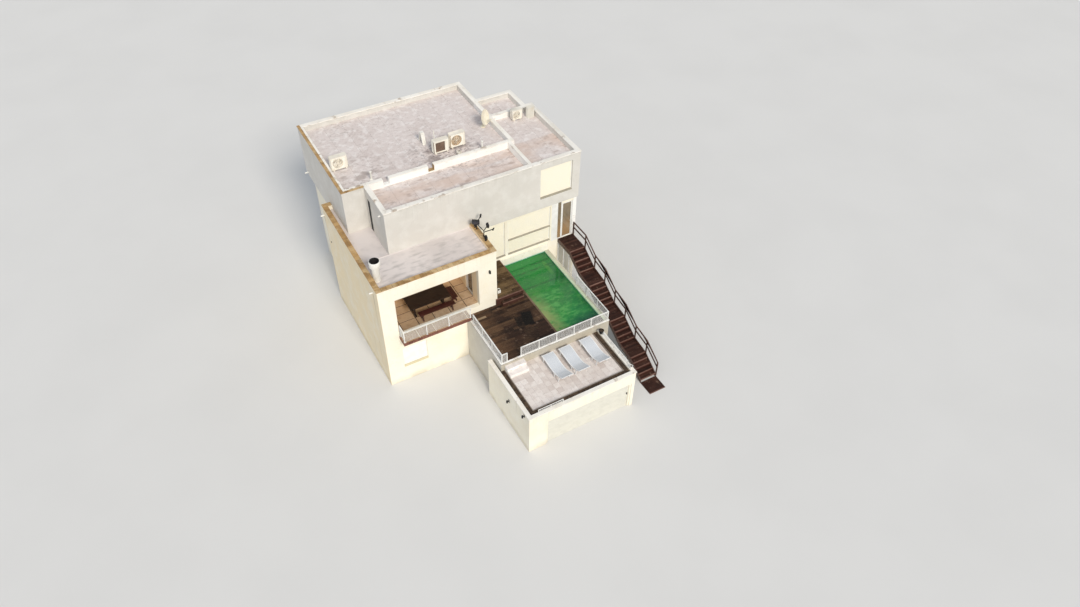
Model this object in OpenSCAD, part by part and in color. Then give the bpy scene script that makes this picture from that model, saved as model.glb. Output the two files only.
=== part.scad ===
// Modern beach house on two levels of terraces, in millimetres.
// The origin is on the ground, under the middle of the house.
// X runs to the right along the front walls, Y to the back, Z up.

/* [Whole house] */
// Depth from the garage front to the back wall
house_depth = 19040; // [18800:20:19600]
// Thickness of the house walls
wall = 250; // [220:10:280]
// Thickness of the coping stones on the parapets
coping = 40; // [30:5:60]
// How far a coping stands out past its wall
coping_lip = 30; // [20:5:45]
// Thickness of the roof slabs
roof_slab = 200; // [180:10:240]
// Thickness of the living storey's floor
floor_slab = 180; // [150:10:220]
// How far shutters and doors stand back from the face of their wall
reveal = 90; // [70:5:110]

/* [Levels] */
// Height of one riser of the outdoor stair
riser = 170; // [160:5:180]
// Drop from the living floor to the wooden deck
deck_drop = 410; // [380:10:440]
// Drop from the wooden deck to the terrace on the garage
terrace_drop = 540; // [480:10:600]
// Clear height from the living floor to the overhang
living_height = 2740; // [2680:20:2840]
// Thickness of the upper floor above the overhang
upper_floor = 410; // [380:10:460]
// Height of the wing's parapet above its roof
wing_parapet = 270; // [220:10:340]
// Height of the upper storey with its parapet
upper_height = 2610; // [2500:10:2800]
// Height of the upper parapets above the main roof
roof_parapet = 320; // [280:10:360]

/* [Garage and terrace] */
// Width of the garage
garage_width = 6160; // [6000:20:6260]
// Distance from the wing's left wall to the garage's left wall
garage_offset = 4290; // [4200:10:4360]
// Thickness of the garage walls
garage_wall = 200; // [180:5:220]
// Height of the garage parapet above the terrace
garage_parapet = 140; // [110:10:180]
// How far the garage's left wall runs back beside the deck
garage_side_depth = 4290; // [4000:10:4600]
// Width of the garage door
garage_door_width = 4770; // [4500:10:5000]
// Height of the garage door
garage_door_height = 1720; // [1600:10:1800]
// Distance from the garage's right corner to its door
garage_door_margin = 290; // [240:10:330]
// Width of the planting strips round the terrace
planter_width = 240; // [200:10:280]
// Width of the steps from the terrace to the deck
steps_width = 1080; // [1000:10:1180]

/* [Deck and pool] */
// Distance from the garage front to the deck's front wall
deck_front = 3380; // [3300:10:3460]
// How far the deck reaches past the garage's right wall
deck_reach = 530; // [460:10:600]
// Width of the pool's water
pool_width = 2570; // [2400:10:2700]
// Depth of the pool under its rim
pool_depth = 1500; // [1300:50:1700]
// Width of the pool's right rim
pool_rim_width = 240; // [200:10:260]
// Width of the pool's front rim
pool_front_rim = 600; // [520:10:680]
// Depth of the kerb between the pool and the house
pool_back_kerb = 120; // [90:5:140]
// Height of the deck railings
railing_height = 630; // [560:10:760]
// Height of the balcony railing
balcony_rail_height = 750; // [650:10:850]

/* [Left wing] */
// Width of the wing
wing_width = 6400; // [6340:10:6460]
// Distance from the garage front to the wing's front wall
wing_front = 7250; // [7150:10:7350]
// Distance from the garage front to the wing's back wall
wing_back = 14890; // [14700:10:15000]
// Distance from the wing's left wall to the loggia's opening
loggia_offset = 820; // [760:10:880]
// Width of the loggia's opening
loggia_width = 4540; // [4400:10:4640]
// Height of the loggia's opening
loggia_height = 2500; // [2400:10:2560]
// How far the balcony stands out
balcony_depth = 600; // [500:10:700]
// Diameter of the round flue's stem
flue_diameter = 380; // [320:10:400]
// Height of the round flue above the wing's roof
flue_height = 1250; // [1100:10:1400]

/* [Upper storey] */
// Distance from the wing's left wall to the main block
main_setback = 470; // [420:10:520]
// Distance from the wing's left wall to the front block
front_setback = 1660; // [1600:10:1720]
// Distance from the garage front to the front block
upper_front = 9760; // [9700:10:9820]
// Distance from the garage front to the main block's front
main_front = 12270; // [12150:10:12400]
// Width of the right block, beside the main roof
right_block_width = 2640; // [2540:10:2740]
// Distance from the garage front to the back of the right block
right_block_back = 15100; // [15000:20:15200]
// Distance from the garage front to the back of the small rear block
rear_block_back = 16880; // [16700:20:17000]
// How far the small rear block stands in from the right wall
rear_block_inset = 430; // [380:10:480]
// How far the front of the living storey stands back under the overhang
facade_setback = 150; // [120:10:200]
// Thickness of the low wall across the front roof
roof_kerb = 200; // [160:10:220]
// Distance from the main roof's right side to that low wall
roof_kerb_inset = 400; // [340:10:460]
// Width of the notches in the wall between the two roofs
notch = 320; // [260:10:380]

/* [Outdoor stair] */
// Width of the stair with its stringers
stair_width = 1000; // [940:10:1040]
// Depth of one tread
tread = 270; // [260:5:280]
// Depth of the landings between flights
landing = 1080; // [1020:10:1120]
// Distance from the garage front to the top landing's edge
stair_top = 8560; // [8500:10:8620]
// Gap between the deck's right wall and the stair
stair_gap = 700; // [620:20:780]
// How far the house reaches past the stair on the right
stair_inset = 140; // [100:10:200]
// Height of the handrail above the treads
handrail_height = 860; // [800:10:950]

/* [Entrance] */
// Width of the entrance door's leaf
door_width = 640; // [600:5:650]
// Height of the entrance door's leaf
door_height = 2440; // [2300:10:2500]
// Width of the fixed pane beside the entrance door
side_pane = 600; // [560:10:640]
// Width of the double corner column
column_width = 200; // [160:10:240]

/* [Fittings] */
// Width of an air unit's casing
ac_width = 880; // [780:10:940]
// Height of an air unit's casing
ac_height = 720; // [600:10:780]
// Depth of an air unit's casing
ac_depth = 330; // [280:10:360]
// From the main roof's left edge to the left air unit
ac_left_inset = 340; // [280:20:420]
// From the main roof's front to the left air unit
ac_left_back = 2300; // [2200:20:2400]
// From the main roof's right edge to the pair of air units
ac_pair_inset = 4150; // [4050:20:4200]
// From the main roof's front to the pair of air units
ac_pair_back = 1180; // [1100:20:1260]
// Between the left edges of the pair of air units
ac_pair_pitch = 1000; // [980:10:1060]
// Diameter of the satellite dish
dish_diameter = 840; // [700:20:900]
// Height of the round roof vents
vent_height = 420; // [340:20:500]
// From the main roof's left edge to the left vent
vent_left_inset = 1860; // [1760:20:1960]
// From the main roof's right edge to the right vent
vent_right_inset = 1660; // [1560:20:1760]
// From the main roof's right edge to the vent pole
pole_inset = 3660; // [3600:20:3760]
// From the main roof's front to the vent pole
pole_back = 2250; // [2200:20:2350]
// Reach of the rain spouts past the wing's left wall
spout_reach = 200; // [140:10:240]

/* [Furniture] */
// Length of a sun lounger
lounger_length = 2000; // [1900:20:2080]
// Width of a sun lounger
lounger_width = 670; // [620:10:700]
// Height of a sun lounger's seat
lounger_seat = 300; // [260:10:360]
// Length of a sun lounger's raised head
lounger_head = 640; // [560:10:720]
// Length of the dining table
table_length = 2250; // [2000:50:2400]
// Width of the dining table
table_width = 1000; // [900:20:1060]
// Height of the dining table
table_height = 750; // [720:10:780]
// Length of the long bench
bench_length = 2000; // [1800:50:2200]
// Height of the benches
bench_height = 450; // [420:10:480]

/* [Hidden] */
$fn = 32;

// Lines across the house, from left to right
house_width = garage_offset + garage_width + deck_reach + stair_gap + stair_width + stair_inset;
x_wing_l = -(house_width + spout_reach + coping_lip) / 2 + spout_reach;
x_wing_r = x_wing_l + wing_width;
x_upper_r = x_wing_l + house_width;
x_main_l = x_wing_l + main_setback;
x_low_l = x_main_l + 300;
x_front_l = x_wing_l + front_setback;
x_log_l = x_wing_l + loggia_offset;
x_log_r = x_log_l + loggia_width;
x_gar_l = x_wing_l + garage_offset;
x_gar_r = x_gar_l + garage_width;
x_deck_l = x_gar_l + garage_wall + 80;
x_deck_r = x_gar_r + deck_reach;
x_pool_r = x_deck_r - pool_rim_width;
x_pool_l = x_pool_r - pool_width;
x_main_r = x_upper_r - right_block_width;
x_rear_r = x_upper_r - rear_block_inset;
x_divider = x_main_r - roof_kerb_inset;
x_stair_r = x_upper_r - stair_inset;
x_stair_l = x_stair_r - stair_width;

// Entrance bay, counted from the corner column at the right
jamb = 60;
gap = 8;
x_jamb = x_upper_r - column_width - jamb;
x_leaf_r = x_jamb - gap;
x_leaf_l = x_leaf_r - door_width;
x_mullion = x_leaf_l - gap - jamb;
x_side_l = x_mullion - side_pane;
x_post_r = x_side_l - 100;

// Lines from the front to the back
y_front = -house_depth / 2;
y_back = house_depth / 2;
y_deck = y_front + deck_front;
y_gar_b = y_front + garage_side_depth;
y_pool_f = y_deck + pool_front_rim;
y_wing_f = y_front + wing_front;
y_balcony = y_wing_f - balcony_depth;
y_upper = y_front + upper_front;
y_facade = y_upper + facade_setback;
y_pool_b = y_facade - pool_back_kerb;
y_main = y_front + main_front;
y_wing_b = y_front + wing_back;
y_right_b = y_front + right_block_back;
y_rear_b = y_front + rear_block_back;
y_top_nosing = y_front + stair_top;

// Levels
pad = 30;
z_living = 20 * riser + pad;
z_deck = z_living - deck_drop;
z_terrace = z_deck - terrace_drop;
z_gar_top = z_terrace + garage_parapet;
z_over = z_living + living_height;
z_wing_roof = z_over + upper_floor;
z_wing_top = z_wing_roof + wing_parapet;
z_top = z_wing_roof + upper_height;
z_main_roof = z_top - roof_parapet;
z_front_roof = z_main_roof - 90;
z_right_roof = z_main_roof + 20;
z_log_top = z_living + loggia_height;
z_wing_slab = z_wing_roof - roof_slab;
z_pool = z_deck - pool_depth;

// Openings with closed shutters: left, right, bottom, top
wing_window = [x_log_l + 40, x_log_l + 1400, 1080, 2420];
upper_window = [x_upper_r - 2430, x_upper_r - 470, z_wing_roof + 300, z_top - 450];
narrow_bay = [x_wing_r + 150, x_post_r - 2850, z_living + 190, z_over - 220];
wide_bay = [x_post_r - 2660, x_post_r, z_living + 1180, z_over - 220];
wide_panel = [x_post_r - 2660, x_post_r, z_living + 190, z_living + 1120];
// Notches in the wall between the front roof and the main roof, by their left edges
notches = [x_front_l + 1030, x_front_l + 3500];
// Slot window in the left wall of the front block: front, back, bottom, top
slot = [y_main - 560, y_main - 240, z_wing_roof + 60, z_top - 620];
// Glass door from the loggia to the upper deck: front, back, top
loggia_door = [y_upper - 1100, y_upper - 250, z_living + 2150];

wood_dark = [0.24, 0.16, 0.12];
render_cream = [0.93, 0.90, 0.80];
render_grey = [0.86, 0.84, 0.81];
white = [0.95, 0.95, 0.93];
ochre = [0.75, 0.60, 0.36];

// A box between two corners given as pairs of planes
module block(x0, x1, y0, y1, z0, z1) {
  translate([x0, y0, z0]) cube([x1 - x0, y1 - y0, z1 - z0]);
}

// A rectangle in plan between two pairs of lines
module strip(x0, x1, y0, y1) {
  translate([x0, y0]) square([x1 - x0, y1 - y0]);
}

// A plan outline pulled up between two levels
module plate(points, z0, z1) {
  translate([0, 0, z0]) linear_extrude(z1 - z0) polygon(points);
}

// A side outline in Y and Z pulled along X
module side_plate(points, x0, x1) {
  translate([x0, 0, 0]) rotate([90, 0, 90]) linear_extrude(x1 - x0) polygon(points);
}

// GARAGE

x_door_r = x_gar_r - garage_door_margin;
x_door_l = x_door_r - garage_door_width;
y_door = y_front + reveal + 20;

module garage_front_wall() {
  step = 110;
  color(render_cream) difference() {
    block(x_gar_l, x_gar_r, y_front, y_front + garage_wall, 0, z_gar_top - coping);
    block(x_door_l, x_door_r, y_front - 1, y_front + garage_wall + 1, -1, garage_door_height);
    block(x_door_l - step, x_door_r + step, y_front - 1, y_front + 50, -1, garage_door_height + step);
  }
}

module garage_side_walls() {
  color(render_cream) {
    block(x_gar_l, x_gar_l + garage_wall, y_front + garage_wall, y_gar_b, 0, z_gar_top - coping);
    block(x_gar_r - garage_wall, x_gar_r, y_front + garage_wall, y_deck, 0, z_gar_top - coping);
  }
}

// Four sections, with a groove between each two and a long panel pressed into each
module garage_door() {
  section = garage_door_height / 4;
  color(white) difference() {
    block(x_door_l, x_door_r, y_door, y_door + 50, 0, garage_door_height);
    for (i = [1:3])
      block(x_door_l - 1, x_door_r + 1, y_door - 1, y_door + 9, i * section - 4, i * section + 4);
    for (i = [0:3])
      block(x_door_l + 120, x_door_r - 120, y_door - 1, y_door + 6,
            i * section + 90, (i + 1) * section - 90);
  }
}

module garage_door_handle() {
  color([0.08, 0.08, 0.09]) translate([x_door_r - 70, y_door, garage_door_height * 0.6]) {
    block(-25, 25, -8, 0, -70, 70);
    for (z = [-55, 43])
      block(-8, 8, -45, -7, z, z + 12);
    translate([0, -45, -55]) cylinder(d = 18, h = 110);
  }
}

module terrace_slab() {
  inner_l = x_gar_l + garage_wall;
  inner_r = x_gar_r - garage_wall;
  inner_f = y_front + garage_wall;
  kerb = 40;
  color([0.85, 0.82, 0.76]) {
    block(inner_l, inner_r, inner_f, y_deck, z_terrace - roof_slab, z_terrace);
    difference() {
      block(inner_l + planter_width, inner_r - planter_width, inner_f + planter_width, y_deck,
            z_terrace - 1, z_terrace + 60);
      block(inner_l + planter_width + kerb, inner_r - planter_width - kerb,
            inner_f + planter_width + kerb, y_deck + 1, z_terrace - 2, z_terrace + 61);
    }
  }
}

module terrace_steps() {
  x0 = x_gar_l + garage_wall + planter_width + 40;
  rise = terrace_drop / 3;
  color(white)
    side_plate([
      [y_deck - 600, z_terrace], [y_deck - 600, z_terrace + rise],
      [y_deck - 300, z_terrace + rise], [y_deck - 300, z_terrace + 2 * rise],
      [y_deck, z_terrace + 2 * rise], [y_deck, z_terrace]
    ], x0, x0 + steps_width);
}

// A low rail on short posts, along X from the origin
module low_rail(length, height, posts) {
  for (i = [0:posts - 1])
    translate([i * (length - 30) / (posts - 1), -15, 0]) cube([30, 30, height]);
  translate([0, -15, height - 25]) cube([length, 30, 25]);
  translate([0, -8, height / 2 - 8]) cube([length, 16, 16]);
}

module terrace_rails() {
  color(white) {
    translate([x_gar_l + 560, y_front + garage_wall / 2 + 30, z_gar_top]) low_rail(1400, 260, 3);
    translate([x_gar_r - garage_wall / 2, y_front + 640, z_gar_top])
      rotate([0, 0, 90]) low_rail(2280, 260, 4);
  }
}

// SUN LOUNGERS

lounger_x = [2440, 3430, 4660];
y_lounger = y_deck - 260;
back_angle = 26;
rail_w = 38;
bed = lounger_length - lounger_head;

// Height of the bed above its seat level, at distance t from the foot end
function bed_rise(t) = t < bed
  ? 26 * sin(360 * t / bed)
  : (t - bed) * tan(back_angle) - 24 * sin(180 * (t - bed) / lounger_head);

// Side outline between two heights that follow the bed from t0 to t1
function bed_band(t0, t1, low, high) = let (n = 16, step = (t1 - t0) / n) concat(
  [for (i = [0:n]) [-(t0 + i * step), lounger_seat + bed_rise(t0 + i * step) + high]],
  [for (i = [n:-1:0]) [-(t0 + i * step), lounger_seat + bed_rise(t0 + i * step) + low]]
);

// One lounger with its foot end at the origin and its raised head at -Y
module lounger_frame() {
  for (x = [0, lounger_width - rail_w]) {
    side_plate(bed_band(0, lounger_length, -60, 0), x, x + rail_w);
    for (t = [150, bed - 110])
      side_plate([
        [-t, lounger_seat - 40], [-t - 100, lounger_seat - 40], [-t - 75, 0], [-t - 25, 0]
      ], x, x + rail_w);
    side_plate([
      [-bed - 360, lounger_seat + 90], [-bed - 430, lounger_seat + 125],
      [-bed - 330, 0], [-bed - 280, 0]
    ], x, x + rail_w);
  }
  for (t = [16, lounger_length - 16])
    translate([rail_w - 2, -t, lounger_seat + bed_rise(t) - 28]) rotate([0, 90, 0])
      cylinder(d = 30, h = lounger_width - 2 * rail_w + 4);
  for (t = [200, bed - 60])
    translate([rail_w - 2, -t, lounger_seat / 2]) rotate([0, 90, 0])
      cylinder(d = 26, h = lounger_width - 2 * rail_w + 4);
}

module lounger_sling() {
  side_plate(bed_band(34, lounger_length - 34, -22, -10), rail_w, lounger_width - rail_w);
}

module lounger_frames() {
  color(white)
    for (x = lounger_x)
      translate([x_gar_l + x, y_lounger, z_terrace]) lounger_frame();
}

module lounger_slings() {
  color([0.80, 0.84, 0.88])
    for (x = lounger_x)
      translate([x_gar_l + x, y_lounger, z_terrace]) lounger_sling();
}

// DECK AND POOL

module retaining_walls() {
  color(render_grey)
    plate([
      [x_deck_l, y_deck], [x_deck_r, y_deck], [x_deck_r, y_deck + wall],
      [x_deck_l + wall, y_deck + wall], [x_deck_l + wall, y_wing_f], [x_deck_l, y_wing_f]
    ], 0, z_deck - coping);
}

module pool_shell() {
  color(white) {
    difference() {
      block(x_pool_l - 200, x_deck_r, y_deck + wall, y_facade, z_pool - 200, z_deck - coping);
      block(x_pool_l, x_pool_r, y_pool_f, y_pool_b, z_pool, z_deck);
    }
    block(x_pool_r, x_deck_r, y_deck + wall, y_facade, 0, z_deck - coping);
    block(x_pool_l, x_deck_r, y_pool_b, y_facade, z_pool, z_living);
  }
}

module pool_rim() {
  color(white)
    plate([
      [x_pool_l - 200, y_deck - coping_lip], [x_deck_r + coping_lip, y_deck - coping_lip],
      [x_deck_r + coping_lip, y_pool_b], [x_pool_r, y_pool_b], [x_pool_r, y_pool_f],
      [x_pool_l - 200, y_pool_f]
    ], z_deck - coping, z_deck);
}

module lower_deck() {
  color(wood_dark)
    plate([
      [x_deck_l, y_deck], [x_pool_l - 200, y_deck], [x_pool_l - 200, y_pool_f],
      [x_pool_l, y_pool_f], [x_pool_l, y_wing_f], [x_deck_l, y_wing_f]
    ], z_deck - coping, z_deck);
}

module upper_deck() {
  y0 = y_wing_f - 70;
  rise = deck_drop / 2;
  color(wood_dark) {
    block(x_wing_r, x_pool_l, y_wing_f, y_facade, z_living - 40, z_living);
    block(x_wing_r - 100, x_pool_l, y0, y_wing_f, z_deck, z_living);
    block(x_pool_l - 40, x_pool_l, y_wing_f, y_facade, z_deck - coping, z_living);
    block(x_wing_r + 180, x_pool_l - 100, y0 - 260, y0, z_deck, z_deck + rise);
  }
}

// A railing panel along X from the origin, with posts on plates and level bars
module railing(length, height) {
  bays = max(1, ceil(length / 1250));
  step = (length - 40) / bays;
  bars = round((height - 35) / 95);
  for (i = [0:bays])
    translate([i * step, -20, 0]) {
      cube([40, 40, height]);
      translate([i == 0 ? 0 : (i == bays ? -60 : -30), -10, 0]) cube([100, 60, 10]);
    }
  translate([0, -25, height - 35]) cube([length, 50, 35]);
  for (i = [1:bars])
    translate([0, -7, i * (height - 35) / (bars + 1) - 7]) cube([length, 14, 14]);
}

module deck_railings() {
  color(white) {
    translate([x_deck_l + 80, y_deck + 60, z_deck]) rotate([0, 0, 90])
      railing(y_balcony - y_deck - 70, railing_height);
    translate([x_deck_l + 60, y_deck + 60, z_deck]) railing(330, railing_height);
    translate([x_deck_l + steps_width + 60, y_deck + 60, z_deck])
      railing(x_deck_r - x_deck_l - steps_width - 100, railing_height);
    translate([x_deck_r - 60, y_deck + 40, z_deck]) rotate([0, 0, 90])
      railing(3180, railing_height);
  }
}

module balcony_slab() {
  color(render_cream)
    block(x_log_l, x_deck_l, y_balcony, y_wing_f, z_living - floor_slab, z_living);
}

module balcony_edge() {
  color([0.42, 0.20, 0.14])
    plate([
      [x_log_l - 20, y_balcony - 20], [x_deck_l, y_balcony - 20], [x_deck_l, y_balcony],
      [x_log_l, y_balcony], [x_log_l, y_wing_f], [x_log_l - 20, y_wing_f]
    ], z_living - floor_slab - 10, z_living + 10);
}

module balcony_railing() {
  color(white) {
    translate([x_log_l + 20, y_balcony + 40, z_living])
      railing(x_deck_l - x_log_l - 20, balcony_rail_height);
    translate([x_log_l + 40, y_balcony + 40, z_living]) rotate([0, 0, 90])
      railing(balcony_depth - 40, balcony_rail_height);
  }
}

// LEFT WING

module wing_front_wall() {
  color(render_cream) difference() {
    block(x_wing_l, x_wing_r, y_wing_f, y_wing_f + wall, 0, z_wing_top - coping);
    block(x_log_l, x_log_r, y_wing_f - 1, y_wing_f + wall + 1, z_living, z_log_top);
    block(wing_window[0], wing_window[1], y_wing_f - 1, y_wing_f + wall + 1,
          wing_window[2], wing_window[3]);
  }
}

module wing_left_wall() {
  color(render_cream)
    block(x_wing_l, x_wing_l + wall, y_wing_f + wall, y_wing_b, 0, z_wing_top - coping);
}

module wing_right_wall() {
  x0 = x_wing_r - wall;
  color(render_cream) difference() {
    side_plate([
      [y_wing_f + wall, 0], [y_facade, 0], [y_facade, z_over], [y_upper, z_over],
      [y_upper, z_wing_top - coping], [y_wing_f + wall, z_wing_top - coping]
    ], x0, x_wing_r);
    block(x0 - 1, x_wing_r + 1, loggia_door[0], loggia_door[1], z_living, loggia_door[2]);
  }
}

module rear_left_wall() {
  x0 = x_wing_l + wall;
  color(render_cream) {
    plate([
      [x0, y_wing_b - wall], [x_low_l + wall, y_wing_b - wall], [x_low_l + wall, y_back - wall],
      [x_low_l, y_back - wall], [x_low_l, y_wing_b], [x0, y_wing_b]
    ], 0, z_over);
    block(x0, x_main_l, y_wing_b - wall, y_wing_b, z_over - 1, z_wing_top - coping);
  }
}

module loggia_back_wall() {
  color(render_cream)
    block(x_wing_l + wall, x_wing_r - wall, y_upper, y_upper + 200, z_living, z_wing_slab);
}

module wing_roof() {
  color([0.80, 0.80, 0.80])
    plate([
      [x_wing_l + wall, y_wing_f + wall], [x_wing_r - wall, y_wing_f + wall],
      [x_wing_r - wall, y_upper], [x_wing_r, y_upper], [x_wing_r, y_wing_b - wall],
      [x_wing_l + wall, y_wing_b - wall]
    ], z_wing_slab, z_wing_roof);
}

module ochre_copings() {
  z0 = z_wing_top - coping;
  t0 = z_top - coping;
  color(ochre) {
    plate([
      [x_wing_l - coping_lip, y_wing_f - coping_lip], [x_wing_r + coping_lip, y_wing_f - coping_lip],
      [x_wing_r + coping_lip, y_upper], [x_wing_r - wall, y_upper],
      [x_wing_r - wall, y_wing_f + wall], [x_wing_l + wall, y_wing_f + wall],
      [x_wing_l + wall, y_wing_b - wall], [x_main_l, y_wing_b - wall],
      [x_main_l, y_wing_b + coping_lip], [x_wing_l - coping_lip, y_wing_b + coping_lip]
    ], z0, z_wing_top);
    plate([
      [x_main_l - coping_lip, y_main - coping_lip], [x_front_l, y_main - coping_lip],
      [x_front_l, y_main + wall], [x_main_l + wall, y_main + wall],
      [x_main_l + wall, y_back + coping_lip], [x_main_l - coping_lip, y_back + coping_lip]
    ], t0, z_top);
  }
}

// CHIMNEY, LAMPS AND SPOUTS

module chimney_flue() {
  r = flue_diameter / 2;
  color(white) translate([x_wing_l + wall + r + 10, y_wing_f + 1100, z_wing_roof])
    rotate_extrude($fn = 48) polygon([
      [r - 30, 0], [r, 0], [r, flue_height - 380], [r + 60, flue_height - 340],
      [r + 90, flue_height - 330], [r + 90, flue_height - 20], [r + 60, flue_height],
      [r + 20, flue_height], [r + 20, flue_height - 300], [r - 30, flue_height - 360]
    ]);
}

// A floodlight that faces -Y from the origin: a yoke and a head with cooling ribs
module floodlight() {
  cylinder(d = 90, h = 14);
  translate([-14, -14, 0]) cube([28, 28, 110]);
  for (x = [-134, 126])
    translate([x, -22, 100]) cube([8, 44, 130]);
  translate([-134, -22, 100]) cube([268, 44, 10]);
  translate([0, 0, 195]) rotate([18, 0, 0]) {
    side_plate([[-70, -85], [-70, 85], [20, 70], [20, -70]], -126, 126);
    for (x = [-100:40:100])
      translate([x - 4, 19, -60]) cube([8, 26, 120]);
  }
}

// A wall lamp that stands out to -Y from the origin: a plate and a drum
module wall_lamp(reach) {
  translate([-45, -14, -90]) cube([90, 14, 180]);
  translate([0, -reach + 50, -70]) cylinder(d = 100, h = 140);
  translate([-20, -reach + 50, -20]) cube([40, reach - 60, 40]);
}

module outdoor_lamps() {
  color([0.08, 0.08, 0.09]) {
    for (y = [900, 2100])
      translate([x_wing_r - wall / 2, y_wing_f + y, z_wing_top]) rotate([0, 0, 75]) floodlight();
    translate([x_wing_r - 415, y_wing_f, z_log_top - 360]) wall_lamp(130);
    for (p = [[490, -120], [2050, -690]])
      translate([x_gar_l, y_front + p[0], z_terrace + p[1]]) rotate([0, 0, -90]) wall_lamp(160);
  }
}

// A round spout that stands out to -X from the origin
module spout(length) {
  rotate([0, -90, 0]) difference() {
    cylinder(d = 80, h = length);
    translate([0, 0, 20]) cylinder(d = 60, h = length);
  }
}

module rain_spouts() {
  color([0.16, 0.16, 0.17]) {
    translate([x_wing_l, y_wing_f + 600, z_wing_roof - 210]) spout(spout_reach);
    translate([x_wing_l, y_wing_b - 120, z_wing_roof - 360]) spout(spout_reach);
    translate([x_front_l, y_upper + 520, z_front_roof - 50]) spout(spout_reach * 0.6);
    translate([x_main_l, y_back - 380, z_over + 200]) spout(spout_reach);
  }
}

// SHUTTERS AND SILLS

bay_reveal = 60;

// A closed roller shutter with its box on top, from a list of four planes
module shutter(w, y) {
  block(w[0], w[1], y, y + 40, w[2], w[3]);
  block(w[0], w[1], y + 39, y + 140, w[3] - 160, w[3]);
}

module roller_shutters() {
  color(white) {
    shutter(wing_window, y_wing_f + reveal);
    shutter(upper_window, y_upper + reveal);
    for (w = [narrow_bay, wide_bay])
      shutter(w, y_facade + bay_reveal);
    block(wide_panel[0], wide_panel[1], y_facade + bay_reveal, y_facade + bay_reveal + 40,
          wide_panel[2], wide_panel[3]);
  }
}

// A sloping sill with a drip edge, in front of a shutter that stands back by depth
module sill(w, y, depth) {
  side_plate([
    [y - 40, w[2] - 25], [y - 40, w[2] + 4], [y + depth, w[2] + 24], [y + depth, w[2]],
    [y, w[2]], [y, w[2] - 12], [y - 28, w[2] - 12], [y - 28, w[2] - 25]
  ], w[0], w[1]);
}

module window_sills() {
  color([0.72, 0.64, 0.50]) {
    sill(wing_window, y_wing_f, reveal);
    sill(upper_window, y_upper, reveal);
    for (w = [narrow_bay, wide_bay, wide_panel])
      sill(w, y_facade, bay_reveal);
  }
}

// LOWER WALLS AND LIVING STOREY

module lower_front_wall() {
  color(render_cream)
    block(x_wing_r, x_upper_r, y_facade, y_facade + wall, 0, z_living);
}

module back_wall() {
  color(render_grey) translate([0, y_back, 0]) rotate([90, 0, 0])
    linear_extrude(wall) polygon([
      [x_low_l, 0], [x_main_r - wall, 0], [x_main_r - wall, z_top - coping],
      [x_main_l, z_top - coping], [x_main_l, z_over], [x_low_l, z_over]
    ]);
}

// The right side steps in twice on its way to the back
module right_wall() {
  color(render_grey)
    plate([
      [x_upper_r, y_facade + wall], [x_upper_r, y_right_b], [x_rear_r, y_right_b],
      [x_rear_r, y_rear_b], [x_main_r, y_rear_b], [x_main_r, y_back],
      [x_main_r - wall, y_back], [x_main_r - wall, y_rear_b - wall],
      [x_rear_r - wall, y_rear_b - wall], [x_rear_r - wall, y_right_b - wall],
      [x_upper_r - wall, y_right_b - wall], [x_upper_r - wall, y_facade + wall]
    ], 0, z_top - coping);
  color(render_grey)
    block(x_upper_r - wall, x_upper_r, y_upper + wall, y_facade + wall + 1,
          z_wing_roof, z_top - coping);
}

module living_floor() {
  y0 = y_facade + wall;
  color([0.72, 0.62, 0.50])
    plate([
      [x_wing_l + wall, y_wing_f + wall], [x_wing_r - wall, y_wing_f + wall],
      [x_wing_r - wall, y_facade], [x_wing_r, y_facade], [x_wing_r, y0],
      [x_upper_r - wall, y0], [x_upper_r - wall, y_right_b - wall],
      [x_rear_r - wall, y_right_b - wall], [x_rear_r - wall, y_rear_b - wall],
      [x_main_r - wall, y_rear_b - wall], [x_main_r - wall, y_back - wall],
      [x_low_l + wall, y_back - wall], [x_low_l + wall, y_wing_b - wall],
      [x_wing_l + wall, y_wing_b - wall]
    ], z_living - floor_slab, z_living);
}

module living_front_wall() {
  color(render_cream) difference() {
    block(x_wing_r, x_side_l, y_facade, y_facade + 200, z_living, z_over);
    for (w = [narrow_bay, wide_bay, wide_panel])
      block(w[0], w[1], y_facade - 1, y_facade + 201, w[2], w[3]);
  }
}

// A rectangular ring of bars in the XZ plane, from the origin
module ring(width, height, bar, depth) {
  difference() {
    cube([width, depth, height]);
    translate([bar, -1, bar]) cube([width - 2 * bar, depth + 2, height - 2 * bar]);
  }
}

module aluminium_frames() {
  color(white) {
    translate([x_side_l, y_facade, z_living])
      ring(x_mullion + jamb - x_side_l, z_over - z_living, jamb, 70);
    block(x_jamb, x_jamb + jamb, y_facade, y_facade + 70, z_living, z_living + door_height + 16);
    for (z = hinge_z)
      translate([x_hinge, y_hinge, z]) hinge_half(-1);
    translate([x_wing_r - 90, loggia_door[0], z_living]) rotate([0, 0, 90])
      ring(loggia_door[1] - loggia_door[0], loggia_door[2] - z_living, 60, 60);
    translate([x_front_l + 120, slot[0], slot[2]]) rotate([0, 0, 90])
      ring(slot[1] - slot[0], slot[3] - slot[2], 40, 60);
  }
}

module fixed_glass() {
  color([0.55, 0.62, 0.66, 0.4]) {
    block(x_side_l + jamb, x_mullion, y_facade + 25, y_facade + 37,
          z_living + jamb, z_over - jamb);
    block(x_wing_r - 126, x_wing_r - 114, loggia_door[0] + 60, loggia_door[1] - 60,
          z_living + 60, loggia_door[2] - 60);
    block(x_front_l + 84, x_front_l + 96, slot[0] + 40, slot[1] - 40,
          slot[2] + 40, slot[3] - 40);
  }
}

// The leaf lies flush with the inner face of its frame, on three hinges
y_leaf = y_facade + 30;
x_hinge = x_leaf_l - gap / 2;
y_hinge = y_leaf + 48;
hinge_z = [z_living + 250, z_living + 1200, z_living + door_height - 300];
knuckle = 50;

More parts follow.
